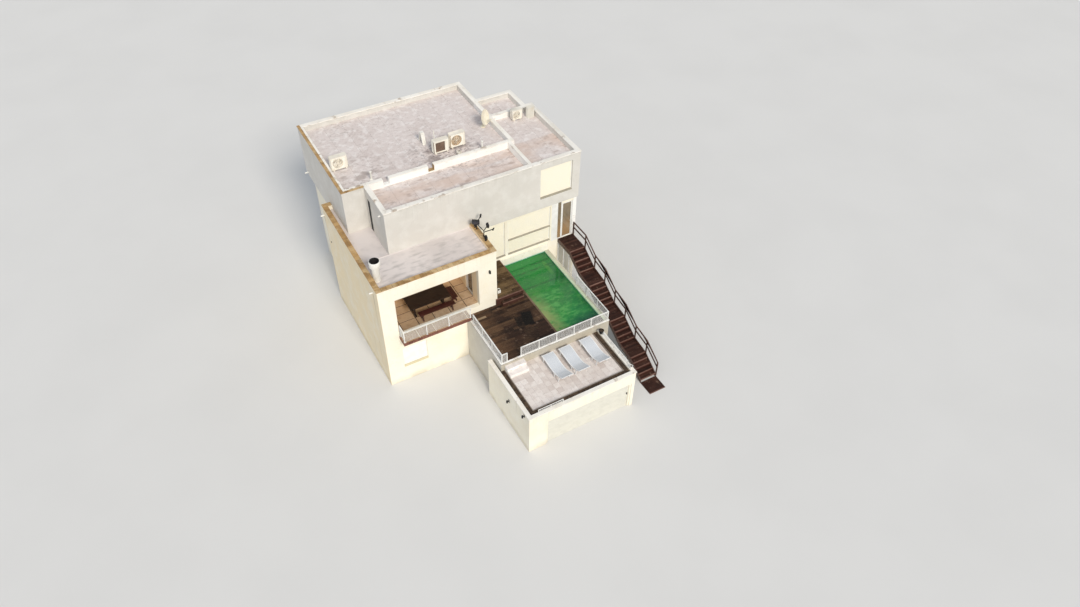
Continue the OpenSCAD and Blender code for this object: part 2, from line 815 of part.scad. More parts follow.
// Half a hinge: a knuckle, and its flap on the face that carries it
module hinge_half(side) {
  cylinder(d = 14, h = knuckle);
  translate([side > 0 ? 0 : -26, -9, 0]) cube([26, 7, knuckle]);
}

// A lever handle on its plate, from the middle of the plate
module lever(out) {
  translate([-15, out > 0 ? -1 : -7, -110]) cube([30, 8, 220]);
  translate([0, 0, 30]) rotate([out > 0 ? -90 : 90, 0, 0]) cylinder(d = 18, h = 46);
  translate([-110, out > 0 ? 34 : -46, 22]) cube([119, 12, 16]);
}

module entrance_door() {
  z0 = z_living + 8;
  color(white) {
    translate([x_leaf_l, y_leaf, z0]) ring(door_width, door_height, 60, 40);
    for (z = hinge_z)
      translate([x_hinge, y_hinge, z + knuckle + 0.3]) hinge_half(1);
    translate([x_leaf_r - 30, y_leaf, z0 + 1050]) lever(-1);
    translate([x_leaf_r - 30, y_leaf + 40, z0 + 1050]) lever(1);
  }
}

module entrance_door_glass() {
  z0 = z_living + 8;
  color([0.55, 0.62, 0.66, 0.4])
    block(x_leaf_l + 60, x_leaf_r - 60, y_leaf + 14, y_leaf + 26, z0 + 60, z0 + door_height - 60);
}

module entrance_header() {
  color(white)
    block(x_mullion + jamb, x_jamb + jamb, y_facade, y_facade + wall,
          z_living + door_height + 16, z_over);
}

module corner_column() {
  color(white)
    block(x_upper_r - column_width, x_upper_r, y_facade, y_facade + wall, z_living, z_over);
}

// UPPER STOREY

module upper_floor_slab() {
  color(render_grey)
    plate([
      [x_wing_r, y_upper], [x_upper_r, y_upper], [x_upper_r, y_facade + wall],
      [x_upper_r - wall, y_facade + wall], [x_upper_r - wall, y_right_b - wall],
      [x_rear_r - wall, y_right_b - wall], [x_rear_r - wall, y_rear_b - wall],
      [x_main_r - wall, y_rear_b - wall], [x_main_r - wall, y_back - wall],
      [x_main_l, y_back - wall], [x_main_l, y_wing_b], [x_main_l, y_wing_b - wall],
      [x_wing_r, y_wing_b - wall]
    ], z_over, z_wing_roof);
}

module upper_front_wall() {
  color(render_grey) difference() {
    block(x_front_l, x_upper_r, y_upper, y_upper + wall, z_wing_roof, z_top - coping);
    block(upper_window[0], upper_window[1], y_upper - 1, y_upper + wall + 1,
          upper_window[2], upper_window[3]);
  }
}

module upper_left_wall() {
  color(render_grey)
    plate([
      [x_main_l, y_main], [x_front_l, y_main], [x_front_l, y_main + wall],
      [x_main_l + wall, y_main + wall], [x_main_l + wall, y_back - wall],
      [x_main_l, y_back - wall]
    ], z_wing_roof, z_top - coping);
}

module upper_slot_wall() {
  color(render_grey) difference() {
    block(x_front_l, x_front_l + wall, y_upper + wall, y_main, z_wing_roof, z_top - coping);
    block(x_front_l - 1, x_front_l + wall + 1, slot[0], slot[1], slot[2], slot[3]);
  }
}

module roof_slabs() {
  color([0.84, 0.80, 0.77]) {
    plate([
      [x_main_l + wall, y_main + wall], [x_main_r - wall, y_main + wall],
      [x_main_r - wall, y_back - wall], [x_main_l + wall, y_back - wall]
    ], z_main_roof - roof_slab, z_main_roof);
    block(x_front_l + wall, x_divider, y_upper + wall, y_main, z_front_roof - roof_slab, z_front_roof);
    plate([
      [x_divider + roof_kerb, y_upper + wall], [x_upper_r - wall, y_upper + wall],
      [x_upper_r - wall, y_right_b - wall], [x_main_r, y_right_b - wall],
      [x_main_r, y_main], [x_divider + roof_kerb, y_main]
    ], z_right_roof - roof_slab, z_right_roof);
    block(x_main_r, x_rear_r - wall, y_right_b, y_rear_b - wall,
          z_right_roof - roof_slab, z_right_roof);
  }
}

// Low walls that part the roofs, each on the edge of a roof slab
module roof_upstands() {
  z0 = z_front_roof - roof_slab;
  z1 = z_top - coping;
  color(white) {
    difference() {
      block(x_front_l, x_main_r, y_main, y_main + wall, z0, z1);
      for (x = notches)
        block(x, x + notch, y_main - 1, y_main + wall + 1, z_main_roof, z1 + 1);
    }
    block(x_divider, x_divider + roof_kerb, y_upper + wall, y_main + 1, z0, z1);
    block(x_main_r - wall, x_main_r, y_main, y_rear_b - wall, z0, z1);
    block(x_main_r - 1, x_rear_r - wall, y_right_b - wall, y_right_b, z0, z1);
  }
}

module white_copings() {
  lip = coping_lip;
  color(white) {
    plate([
      [x_gar_l - lip, y_front - lip], [x_gar_r + lip, y_front - lip], [x_gar_r + lip, y_deck],
      [x_gar_r - garage_wall, y_deck], [x_gar_r - garage_wall, y_front + garage_wall],
      [x_gar_l + garage_wall, y_front + garage_wall], [x_gar_l + garage_wall, y_gar_b],
      [x_gar_l - lip, y_gar_b]
    ], z_gar_top - coping, z_gar_top);
    translate([0, 0, z_top - coping]) linear_extrude(coping) union() {
      strip(x_front_l - lip, x_upper_r + lip, y_upper - lip, y_upper + wall);
      strip(x_front_l - lip, x_front_l + wall, y_upper, y_main - lip);
      strip(x_front_l, x_front_l + wall, y_upper, y_main + wall);
      difference() {
        strip(x_front_l, x_main_r, y_main, y_main + wall);
        for (x = notches)
          strip(x, x + notch, y_main - 1, y_main + wall + 1);
      }
      strip(x_divider, x_divider + roof_kerb, y_upper, y_main + wall);
      strip(x_main_r - wall, x_main_r, y_main, y_back + lip);
      strip(x_main_r - wall, x_main_r + lip, y_rear_b, y_back + lip);
      strip(x_main_l + wall, x_main_r, y_back - wall, y_back + lip);
      strip(x_upper_r - wall, x_upper_r + lip, y_upper, y_right_b + lip);
      strip(x_main_r - wall, x_upper_r, y_right_b - wall, y_right_b);
      strip(x_rear_r, x_upper_r, y_right_b, y_right_b + lip);
      strip(x_rear_r - wall, x_rear_r + lip, y_right_b, y_rear_b + lip);
      strip(x_main_r, x_rear_r, y_rear_b - wall, y_rear_b + lip);
    }
  }
}

// ROOF FITTINGS

// An outdoor air unit facing -Y, from its left front foot: a casing with cut corners on two
// feet, with a round fan or a square of louvres
module ac_unit(w, h, fan) {
  c = 22;
  foot = 60;
  difference() {
    plate([
      [c, 0], [w - c, 0], [w, c], [w, ac_depth - c], [w - c, ac_depth], [c, ac_depth],
      [0, ac_depth - c], [0, c]
    ], foot, foot + h);
    if (fan)
      translate([w * 0.4, -1, foot + h / 2]) rotate([-90, 0, 0]) cylinder(r = h * 0.4, h = 61, $fn = 48);
    else
      block(w * 0.12, w * 0.72, -1, 60, foot + h * 0.12, foot + h * 0.88);
  }
  if (fan)
    translate([w * 0.4, 4, foot + h / 2]) rotate([-90, 0, 0]) {
      for (r = [0.12, 0.21, 0.3])
        difference() {
          cylinder(r = h * r + 5, h = 10, $fn = 40);
          translate([0, 0, -1]) cylinder(r = h * r - 5, h = 12, $fn = 40);
        }
      for (a = [0:45:135])
        rotate([0, 0, a]) translate([-h * 0.4 - 1, -4, 2]) cube([h * 0.8 + 2, 8, 8]);
      cylinder(r = h * 0.06, h = 57, $fn = 32);
    }
  else
    for (i = [1:7])
      translate([0, 0, foot + h * (0.12 + i * 0.095)]) block(w * 0.12 - 1, w * 0.72 + 1, 8, 30, -7, 7);
  block(w, w + 45, ac_depth * 0.45, ac_depth - 40, foot + 60, foot + 260);
  for (x = [80, w - 140])
    block(x, x + 60, -20, ac_depth + 20, 0, foot);
}

module ac_units() {
  color(white) {
    translate([x_main_l + ac_left_inset, y_main + ac_left_back, z_main_roof])
      ac_unit(ac_width, ac_height, true);
    translate([x_main_r - ac_pair_inset, y_main + ac_pair_back, z_main_roof])
      ac_unit(ac_width, ac_height, false);
    translate([x_main_r - ac_pair_inset + ac_pair_pitch, y_main + ac_pair_back + 100, z_main_roof])
      ac_unit(ac_width, ac_height + 40, true);
    translate([x_upper_r - 1650, y_right_b - wall - 560, z_right_roof])
      ac_unit(ac_width * 0.7, ac_height * 0.78, true);
    translate([x_upper_r - 760, y_right_b - wall - 700, z_right_roof]) {
      plate([
        [30, 0], [390, 0], [420, 30], [420, 230], [390, 260], [30, 260], [0, 230], [0, 30]
      ], 0, ac_height * 0.86);
      plate([
        [20, -10], [400, -10], [430, 20], [430, 240], [400, 270], [20, 270], [-10, 240], [-10, 20]
      ], ac_height * 0.86, ac_height * 0.9);
    }
    translate([x_main_r - 3110, y_main + 420, z_main_roof]) {
      cube([180, 240, 230]);
      translate([-15, -15, 230]) cube([210, 270, 30]);
    }
  }
}

// Height of a dish's inner face at radius r
function dish_z(r) = 0.68 * r * r / dish_diameter;

module satellite_dish() {
  r = dish_diameter / 2;
  color(white) translate([x_main_r - wall - r, y_main + 2400, z_main_roof]) {
    cylinder(d = 300, h = 30);
    cylinder(d = 50, h = 640);
    translate([0, -25, 640]) rotate([48, 0, 0]) {
      rotate_extrude($fn = 48) polygon(concat(
        [for (i = [0:6]) [i * r / 6, dish_z(i * r / 6)]],
        [[r + 8, dish_z(r)], [r + 8, dish_z(r) - 12]],
        [for (i = [6:-1:0]) [i * r / 6, dish_z(i * r / 6) - 12]]
      ));
      rotate([0, 0, 180]) side_plate([
        [r - 30, dish_z(r) - 40], [r + 10, dish_z(r) - 20], [120, r * 1.15], [90, r * 1.15 - 20]
      ], -9, 9);
      translate([0, -105, r * 1.15 - 70]) rotate([20, 0, 0]) cylinder(d = 60, h = 110);
    }
  }
}

// A round vent pipe with a flashing collar and a rain cap on three struts
module roof_vent(d, h) {
  cylinder(d1 = d + 120, d2 = d, h = 60);
  cylinder(d = d, h = h);
  for (a = [0:120:240])
    rotate([0, 0, a]) translate([d / 2 - 14, -6, h - 1]) cube([12, 12, 62]);
  translate([0, 0, h + 60]) cylinder(d1 = d + 70, d2 = 20, h = 40);
}

module roof_vents() {
  color(white) {
    for (p = [[x_main_l + vent_left_inset, 780], [x_main_r - vent_right_inset, 520]])
      translate([p[0], y_main + p[1], z_main_roof]) roof_vent(90, vent_height);
    translate([x_main_r - pole_inset, y_main + pole_back, z_main_roof]) {
      cylinder(d = 140, h = 12);
      cylinder(d = 60, h = vent_height * 1.8);
    }
    translate([x_main_r - pole_inset - 650, y_main + pole_back + 50, z_main_roof]) side_plate([
      [0, 0], [60, 0], [240, 520], [360, 520], [540, 0], [600, 0], [400, 640], [200, 640]
    ], 0, 200);
  }
}

// STAIR

// Height and front edge of step k, where 0 is the top landing
function step_z(k) = z_living - k * riser;
function step_y(k) = y_top_nosing - (k - floor(k / 5)) * tread - floor(k / 5) * landing;

tread_board = 45;
riser_board = 20;
riser_set = 20;

module stair_treads() {
  xl = x_stair_l + 40;
  xr = x_stair_r - 40;
  color(wood_dark) {
    block(xl, xr, y_top_nosing, y_facade, z_living - tread_board, z_living);
    for (k = [1:19])
      block(xl, xr, step_y(k), step_y(k - 1) + riser_set + riser_board, step_z(k) - tread_board, step_z(k));
    block(x_stair_l, x_stair_r, y_front + 80, step_y(19) - 30, 0, pad);
  }
}

// Boards that close the stair, each on one tread and under the nosing of the next
module stair_risers() {
  color([0.36, 0.19, 0.14])
    for (k = [1:19])
      block(x_stair_l + 40, x_stair_r - 40, step_y(k - 1) + riser_set,
            step_y(k - 1) + riser_set + riser_board, step_z(k), step_z(k - 1) - tread_board);
}

// Two stringers, with posts under the landings
module stair_frame() {
  color(wood_dark) {
    for (x = [x_stair_l, x_stair_r - 70], k = [5, 10, 15])
      block(x, x + 70, step_y(k) + 250, step_y(k) + 320, 0, step_z(k) - 230 + riser * 0.4);
    for (x = [x_stair_l, x_stair_r - 40])
      side_plate(concat(
        [[y_facade, z_living + 20], [y_top_nosing, z_living + 20]],
        [for (k = [4, 5, 9, 10, 14, 15, 19]) [step_y(k), step_z(k) + 20]],
        [[step_y(19) - 30, pad], [step_y(19) - 30, 0], [step_y(19) + 60, 0]],
        [for (k = [15, 14, 10, 9, 5, 4]) [step_y(k) + 60, step_z(k) - 230]],
        [[y_top_nosing + 60, z_living - 230], [y_facade, z_living - 230]]
      ), x, x + 40);
  }
}

// Posts under the landings: white ones on the left of the top landing
module landing_posts() {
  color(white)
    for (y = [y_facade - 80, y_facade - 700, y_top_nosing + 80])
      block(x_stair_l, x_stair_l + 60, y, y + 60, 0, z_living - 230);
}

module stair_handrail() {
  x0 = x_stair_r;
  knots = [0, 4, 5, 9, 10, 14, 15, 19];
  color(wood_dark) {
    for (k = knots)
      block(x0, x0 + 60, step_y(k) - 10, step_y(k) + 50, step_z(k) - 200, step_z(k) + handrail_height - 20);
    block(x0, x0 + 60, y_facade - 70, y_facade - 10, z_living - 200, z_living + handrail_height - 20);
    for (h = [handrail_height - 420, handrail_height - 70])
      side_plate(concat(
        [[y_facade - 10, z_living + h]],
        [for (k = knots) [step_y(k) + 20, step_z(k) + h]],
        [for (i = [7:-1:0]) [step_y(knots[i]) + 20, step_z(knots[i]) + h + 70]],
        [[y_facade - 10, z_living + h + 70]]
      ), x0 + 5, x0 + 55);
  }
}

// LOGGIA FURNITURE

x_table = x_wing_l + 1800;
y_table = y_wing_f + 700;
top_board = 45;

module dining_table() {
  z1 = z_living + table_height;
  color([0.22, 0.13, 0.09]) {
    for (i = [0:4])
      block(x_table, x_table + table_length, y_table + i * table_width / 5 + (i > 0 ? 3 : 0),
            y_table + (i + 1) * table_width / 5 - (i < 4 ? 3 : 0), z1 - top_board, z1);
    for (x = [x_table + 260, x_table + table_length - 360]) {
      block(x, x + 100, y_table + 40, y_table + table_width - 40, z1 - top_board - 60, z1 - top_board + 1);
      block(x, x + 100, y_table + 120, y_table + table_width - 120, z_living, z_living + 60);
      for (y = [y_table + table_width * 0.27, y_table + table_width * 0.65])
        block(x + 10, x + 90, y, y + 90, z_living + 59, z1 - top_board - 59);
    }
    block(x_table + 359, x_table + table_length - 359, y_table + table_width / 2 - 35,
          y_table + table_width / 2 + 35, z_living + 200, z_living + 290);
    for (x = [x_table + 300, x_table + table_length - 360])
      block(x, x + 60, y_table + table_width * 0.27 + 89, y_table + table_width * 0.65 + 1,
            z_living + 200, z_living + 290);
  }
}

// A bench of two boards on two splayed legs, along X from the origin
module bench(length) {
  for (y = [0, 170])
    translate([0, y, bench_height - 40]) cube([length, 160, 40]);
  for (x = [140, length - 200]) {
    translate([x, 15, bench_height - 90]) cube([60, 300, 51]);
    side_plate([
      [60, bench_height - 89], [0, 0], [60, 0], [120, bench_height - 89]
    ], x, x + 60);
    side_plate([
      [270, bench_height - 89], [330, 0], [270, 0], [210, bench_height - 89]
    ], x, x + 60);
    translate([x, 60, 150]) cube([60, 210, 50]);
  }
}

module dining_benches() {
  color([0.42, 0.18, 0.12]) {
    translate([x_table + 350, y_table - 370, z_living]) bench(bench_length);
    translate([x_table + table_length + 430, y_table + 50, z_living])
      rotate([0, 0, 90]) bench(table_width - 100);
  }
}

// A round bowl with a rolled rim, and the square tub on the upper deck
module pot(d, h) {
  rotate_extrude($fn = 40) polygon([
    [0, 0], [d * 0.3, 0], [d * 0.46, h * 0.5], [d * 0.5, h - 30], [d * 0.5 + 12, h - 20],
    [d * 0.5 + 12, h], [d * 0.5 - 14, h], [d * 0.5 - 20, h - 60], [0, h - 60]
  ]);
}

module plant_pots() {
  color([0.12, 0.12, 0.12])
    translate([x_gar_r - garage_wall / 2 - 30, y_deck - 300, z_gar_top]) pot(260, 240);
  color(white) {
    translate([x_gar_r - garage_wall / 2, y_front + 340, z_gar_top]) pot(160, 180);
    translate([x_wing_r + 190, y_wing_f + 230, z_living]) difference() {
      cube([260, 260, 300]);
      translate([25, 25, 240]) cube([210, 210, 61]);
    }
  }
}

garage_front_wall();
garage_side_walls();
garage_door();
garage_door_handle();
terrace_slab();
terrace_steps();
terrace_rails();
lounger_frames();
lounger_slings();
retaining_walls();
pool_shell();
pool_rim();
lower_deck();
upper_deck();
deck_railings();
balcony_slab();
balcony_edge();
balcony_railing();
wing_front_wall();
wing_left_wall();
wing_right_wall();
rear_left_wall();
loggia_back_wall();
wing_roof();
ochre_copings();
white_copings();
chimney_flue();
outdoor_lamps();
rain_spouts();
roller_shutters();
window_sills();
lower_front_wall();
back_wall();
right_wall();
living_floor();
living_front_wall();
aluminium_frames();
fixed_glass();
entrance_door();
entrance_door_glass();
entrance_header();
corner_column();
upper_floor_slab();
upper_front_wall();
upper_left_wall();
upper_slot_wall();
roof_slabs();
roof_upstands();
ac_units();
satellite_dish();
roof_vents();
stair_treads();
stair_risers();
stair_frame();
landing_posts();
stair_handrail();
dining_table();
dining_benches();
plant_pots();
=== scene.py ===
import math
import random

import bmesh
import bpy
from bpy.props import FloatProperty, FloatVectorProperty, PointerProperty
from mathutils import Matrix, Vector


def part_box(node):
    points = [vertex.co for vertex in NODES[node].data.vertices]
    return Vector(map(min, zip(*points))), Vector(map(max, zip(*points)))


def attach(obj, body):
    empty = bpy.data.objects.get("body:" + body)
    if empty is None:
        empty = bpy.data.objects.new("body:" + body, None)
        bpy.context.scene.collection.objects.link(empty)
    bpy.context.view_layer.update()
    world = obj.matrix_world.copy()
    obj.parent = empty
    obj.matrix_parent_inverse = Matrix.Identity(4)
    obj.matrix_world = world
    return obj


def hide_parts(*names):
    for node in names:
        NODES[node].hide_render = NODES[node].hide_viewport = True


bl_info = {
    "name": "Beach house",
    "version": (1, 0, 0),
    "blender": (4, 5, 0),
    "location": "3D View > Sidebar > Beach house",
    "description": "Dresses a rendered beach house with decks, a pool, shutters, roofs and their fittings",
    "category": "Object",
}

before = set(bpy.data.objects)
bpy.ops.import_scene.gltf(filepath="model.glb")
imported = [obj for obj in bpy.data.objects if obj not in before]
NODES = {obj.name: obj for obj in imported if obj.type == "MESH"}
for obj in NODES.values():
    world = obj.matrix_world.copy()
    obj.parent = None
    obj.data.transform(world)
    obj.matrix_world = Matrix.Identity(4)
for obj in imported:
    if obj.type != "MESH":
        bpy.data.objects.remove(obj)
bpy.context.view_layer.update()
HOUSE = "house"
LEAF = "entrance_leaf"

# Lengths in metres: a wall's thickness, a coping's thickness and overhang, a floor tile's
# thickness, and how near a point has to be to count as lying on a plane
WALL = 0.25
COPING = 0.04
LIP = 0.03
SLAB = 0.012
NEAR = 0.002


# Lines of the house

def corner(node):
    """The lowest and the highest corner of a CAD node."""
    low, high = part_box(node)
    return Vector(low), Vector(high)


def house_lines():
    """The planes of the house that several pieces share, read off the CAD nodes."""
    rim, strip, side_block = 0.27, 0.60, 1.96
    wing, wing_top = corner("wing_front_wall")
    right_top = corner("right_wall")[1]
    garage, garage_top = corner("garage_front_wall")
    deck, deck_top = corner("lower_deck")
    pool_top = corner("pool_rim")[1]
    main = corner("upper_left_wall")[0]
    living = corner("living_floor")[1].z
    ceiling, wing_roof = corner("wing_roof")
    sill = [v.co.x for v in NODES["wing_front_wall"].data.vertices if abs(v.co.z - living) < NEAR]
    return {
        "wing_left": wing.x, "wing_right": wing_top.x, "wing_front": wing.y,
        "wing_top": wing_top.z + COPING, "wing_back": corner("wing_left_wall")[1].y,
        "right": right_top.x, "back": right_top.y,
        "garage_left": garage.x, "garage_right": garage_top.x, "garage_front": garage.y,
        "garage_top": garage_top.z + COPING,
        "deck_left": deck.x, "deck_front": deck.y, "deck": deck_top.z, "pool_left": deck_top.x,
        "pool_right": pool_top.x - rim, "pool_front": deck.y + strip, "pool_back": pool_top.y,
        "main_left": main.x, "main_front": main.y, "front_left": corner("upper_slot_wall")[0].x,
        "upper_front": corner("upper_front_wall")[0].y, "facade": corner("living_front_wall")[0].y,
        "main_right": corner("roof_upstands")[1].x - side_block, "top": corner("white_copings")[1].z,
        "living": living, "wing_roof": wing_roof.z, "storey": corner("corner_column")[1].z,
        "terrace": corner("terrace_steps")[0].z,
        "loggia_right": max(x for x in sill if x < wing_top.x - 0.5), "loggia_ceiling": ceiling.z,
    }


L = house_lines()


# Meshes

def keep(obj, body, replaces=()):
    """Ties a finished piece to its body and hides the CAD nodes it stands for."""
    if replaces:
        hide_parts(*replaces)
    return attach(obj, body)


def piece(name, mesh, looks=""):
    """A new object at the origin for a mesh whose place is in its vertices, with looks by name."""
    obj = bpy.data.objects.new(name, mesh)
    bpy.context.scene.collection.objects.link(obj)
    for finish in looks.split():
        mesh.materials.append(look(finish))
    return obj


def smooth(mesh, degrees=22.0):
    """Round faces shade smooth, and edges sharper than the angle stay crisp."""
    mesh.polygons.foreach_set("use_smooth", [True] * len(mesh.polygons))
    mesh.set_sharp_from_angle(angle=math.radians(degrees))


def ended(bm, name):
    """The mesh that was under way, as a mesh of that name."""
    mesh = bpy.data.meshes.new(name)
    bm.to_mesh(mesh)
    bm.free()
    return mesh


def merged(node):
    """A CAD node's triangles as one clean mesh: doubles merged, and flat faces made whole again."""
    bm = bmesh.new()
    bm.from_mesh(NODES[node].data)
    bmesh.ops.remove_doubles(bm, verts=bm.verts, dist=2e-5)
    bmesh.ops.dissolve_limit(
        bm, angle_limit=math.radians(0.6), use_dissolve_boundaries=False,
        verts=bm.verts, edges=bm.edges, delimit={"NORMAL"},
    )
    return bm


def parts_of(bm):
    """Groups the faces of a mesh into its separate solids."""
    seen, groups = set(), []
    for face in bm.faces:
        if face in seen:
            continue
        group, queue = [], [face]
        seen.add(face)
        while queue:
            f = queue.pop()
            group.append(f)
            for e in f.edges:
                for n in e.link_faces:
                    if n not in seen:
                        seen.add(n)
                        queue.append(n)
        groups.append(group)
    return groups


def solids(node):
    """The lowest and highest corners of each separate solid of a CAD node, from front to back."""
    bm = merged(node)
    found = []
    for group in parts_of(bm):
        points = [v.co.copy() for f in group for v in f.verts]
        found.append(tuple(Vector(end(p[i] for p in points) for i in range(3)) for end in (min, max)))
    bm.free()
    return sorted(found, key=lambda s: (round(s[0].y, 3), round(s[0].x, 3), round(s[0].z, 3)))


def eased(bm, rounding, segments=2):
    """Rounds the edges where faces of a mesh under way meet at more than 28 degrees."""
    if rounding:
        sharp = [e for e in bm.edges if e.calc_face_angle(0) > math.radians(28)]
        bmesh.ops.bevel(
            bm, geom=sharp, offset=rounding, offset_type="OFFSET", segments=segments,
            profile=0.5, affect="EDGES", clamp_overlap=True,
        )


def softened(node, looks, rounding=0.004, segments=2, choose=None, change=None):
    """A copy of a CAD node with eased edges, as a mason, a joiner or a press leaves them.

    choose(face) gives the number of the face's look, or is true for the second, and change(bm)
    may alter the copy.
    """
    bm = merged(node)
    if change:
        change(bm)
    bm.normal_update()
    eased(bm, rounding, segments)
    bm.normal_update()
    if choose:
        for face in bm.faces:
            face.material_index = int(choose(face))
    mesh = ended(bm, node + "_finish")
    smooth(mesh)
    body = LEAF if node.startswith("entrance_door") else HOUSE
    return keep(piece(node + "_finish", mesh, looks), body, (node,))


def shaped(name, build, looks, body=HOUSE, rounding=0.0):
    """A piece made by build(bm), with eased edges and its faces turned outwards."""
    bm = bmesh.new()
    build(bm)
    bmesh.ops.recalc_face_normals(bm, faces=bm.faces)
    eased(bm, rounding)
    mesh = ended(bm, name)
    smooth(mesh)
    return keep(piece(name, mesh, looks), body)


def cuboid(bm, x0, x1, y0, y1, z0, z1):
    """Adds a box to a mesh under way."""
    made = bmesh.ops.create_cube(bm, size=1.0)["verts"]
    for v in made:
        v.co = Vector((
            x0 if v.co.x < 0 else x1, y0 if v.co.y < 0 else y1, z0 if v.co.z < 0 else z1,
        ))
    return made


def loft(bm, rings, closed=False):
    """Adds a skin over rings of points, one after another, and caps its ends unless it closes."""
    rings = [[bm.verts.new(p) for p in ring] for ring in rings]
    for one, other in zip(rings, rings[1:] + (rings[:1] if closed else [])):
        for i in range(len(one)):
            j = (i + 1) % len(one)
            bm.faces.new((one[i], one[j], other[j], other[i]))
    if not closed:
        bm.faces.new(list(reversed(rings[0])))
        bm.faces.new(rings[-1])


def prism(bm, outline, x0, x1):
    """Adds an upright plate between two planes; outline is its (y, z) corners in order."""
    loft(bm, [[(x, y, z) for y, z in outline] for x in (x0, x1)])


def casement(bm, x0, x1, outer, inner):
    """Adds a ring of bars between two planes; outer and inner are (y0, y1, z0, z1)."""
    corners = [[(x, y, z) for y, z in ((a, c), (b, c), (b, d), (a, d))]
               for a, b, c, d in (outer, inner) for x in (x0, x1)]
    loft(bm, [corners[0], corners[1], corners[3], corners[2]], True)


def turned(axis, degrees):
    """A turn about an axis."""
    return Matrix.Rotation(math.radians(degrees), 4, axis)


def circle(steps):
    """The angles of points evenly round a circle."""
    return [2 * math.pi * i / steps for i in range(steps)]


def lathe(bm, profile, centre, axis, steps):
    """Adds a turned form: profile is (radius, height) pairs along the axis, from the bottom up."""
    turn = {
        "Z": Matrix.Identity(3),
        "Y": Matrix.Rotation(math.radians(90), 3, "X"),
        "X": Matrix.Rotation(math.radians(-90), 3, "Y"),
    }[axis]
    loft(bm, [[turn @ Vector((r * math.cos(a), r * math.sin(a), height)) + Vector(centre)
               for a in circle(steps)] for r, height in profile])


def rod(bm, start, end, radius, sides=5):
    """Adds a straight round bar or wire between two points."""
    along = (end - start).normalized()
    aside = along.orthogonal().normalized()
    other = along.cross(aside)
    loft(bm, [[p + (aside * math.cos(a) + other * math.sin(a)) * radius for a in circle(sides)]
              for p in (start, end)])


# Nodes

def add(tree, kind, inputs=None, **settings):
    """Adds a node. settings are its properties; inputs holds values, or sockets to link from."""
    node = tree.nodes.new(kind)
    for name, value in settings.items():
        setattr(node, name, value)
    for key, value in (inputs or {}).items():
        if isinstance(value, bpy.types.NodeSocket):
            tree.links.new(value, node.inputs[key])
        else:
            node.inputs[key].default_value = value
    return node


def maths(tree, operation, *values):
    """The result of a sum on values or sockets."""
    return add(tree, "ShaderNodeMath", dict(enumerate(values)), operation=operation).outputs[0]


def joined(tree, *parts):
    """Several geometries as one."""
    join = add(tree, "GeometryNodeJoinGeometry")
    for part in parts:
        tree.links.new(part, join.inputs[0])
    return join.outputs[0]


def new_tree(name, sockets):
    """An empty geometry tree with named inputs, and its input node."""
    tree = bpy.data.node_groups.new(name, "GeometryNodeTree")
    tree.interface.new_socket("Geometry", in_out="INPUT", socket_type="NodeSocketGeometry")
    for title, kind, value in sockets:
        socket = tree.interface.new_socket(title, in_out="INPUT", socket_type="NodeSocket" + kind)
        socket.default_value = value
    tree.interface.new_socket("Material", in_out="INPUT", socket_type="NodeSocketMaterial")
    tree.interface.new_socket("Geometry", in_out="OUTPUT", socket_type="NodeSocketGeometry")
    return tree, add(tree, "NodeGroupInput").outputs


def close_tree(tree, geometry, material):
    """Ends a tree: instances are realised and the material is set."""
    real = add(tree, "GeometryNodeRealizeInstances", {0: geometry}).outputs[0]
    dressed = add(tree, "GeometryNodeSetMaterial", {"Geometry": real, "Material": material})
    add(tree, "NodeGroupOutput", {0: dressed.outputs[0]})
    return tree


def laying_tree():
    """Boards, tiles and stones: each face of the carrier becomes a block of its own tone and height."""
    tree, given = new_tree("laid_blocks", [
        ("Thickness", "Float", 0.03), ("Unevenness", "Float", 0.001), ("Seed", "Int", 1)])
    tone = add(tree, "FunctionNodeRandomValue", {"Seed": given["Seed"]}, data_type="FLOAT").outputs[1]
    toned = add(tree, "GeometryNodeStoreNamedAttribute", {
        "Geometry": given["Geometry"], "Name": "tone", "Value": tone,
    }, data_type="FLOAT", domain="FACE").outputs[0]
    read = add(tree, "GeometryNodeInputNamedAttribute", {"Name": "tone"}, data_type="FLOAT").outputs[0]
    less = maths(tree, "MULTIPLY", read, given["Unevenness"])
    grown_up = add(tree, "GeometryNodeExtrudeMesh", {
        "Mesh": toned, "Offset Scale": maths(tree, "SUBTRACT", given["Thickness"], less), "Individual": True,
    }, mode="FACES").outputs[0]
    foot = add(tree, "GeometryNodeFlipFaces", {0: toned}).outputs[0]
    whole = add(tree, "GeometryNodeMergeByDistance", {
        "Geometry": joined(tree, foot, grown_up), "Distance": 1e-5})
    return close_tree(tree, whole.outputs[0], given["Material"])


def stacking_tree():
    """Slats: the carrier piece again and again, one step apart."""
    tree, given = new_tree("stacked_pieces", [("Count", "Int", 10), ("Step", "Vector", (0, 0, 0.05))])
    line = add(tree, "GeometryNodeMeshLine", {
        "Count": given["Count"], "Offset": given["Step"],
    }, mode="OFFSET").outputs[0]
    each = add(tree, "GeometryNodeInstanceOnPoints", {"Points": line, "Instance": given["Geometry"]})
    return close_tree(tree, each.outputs[0], given["Material"])


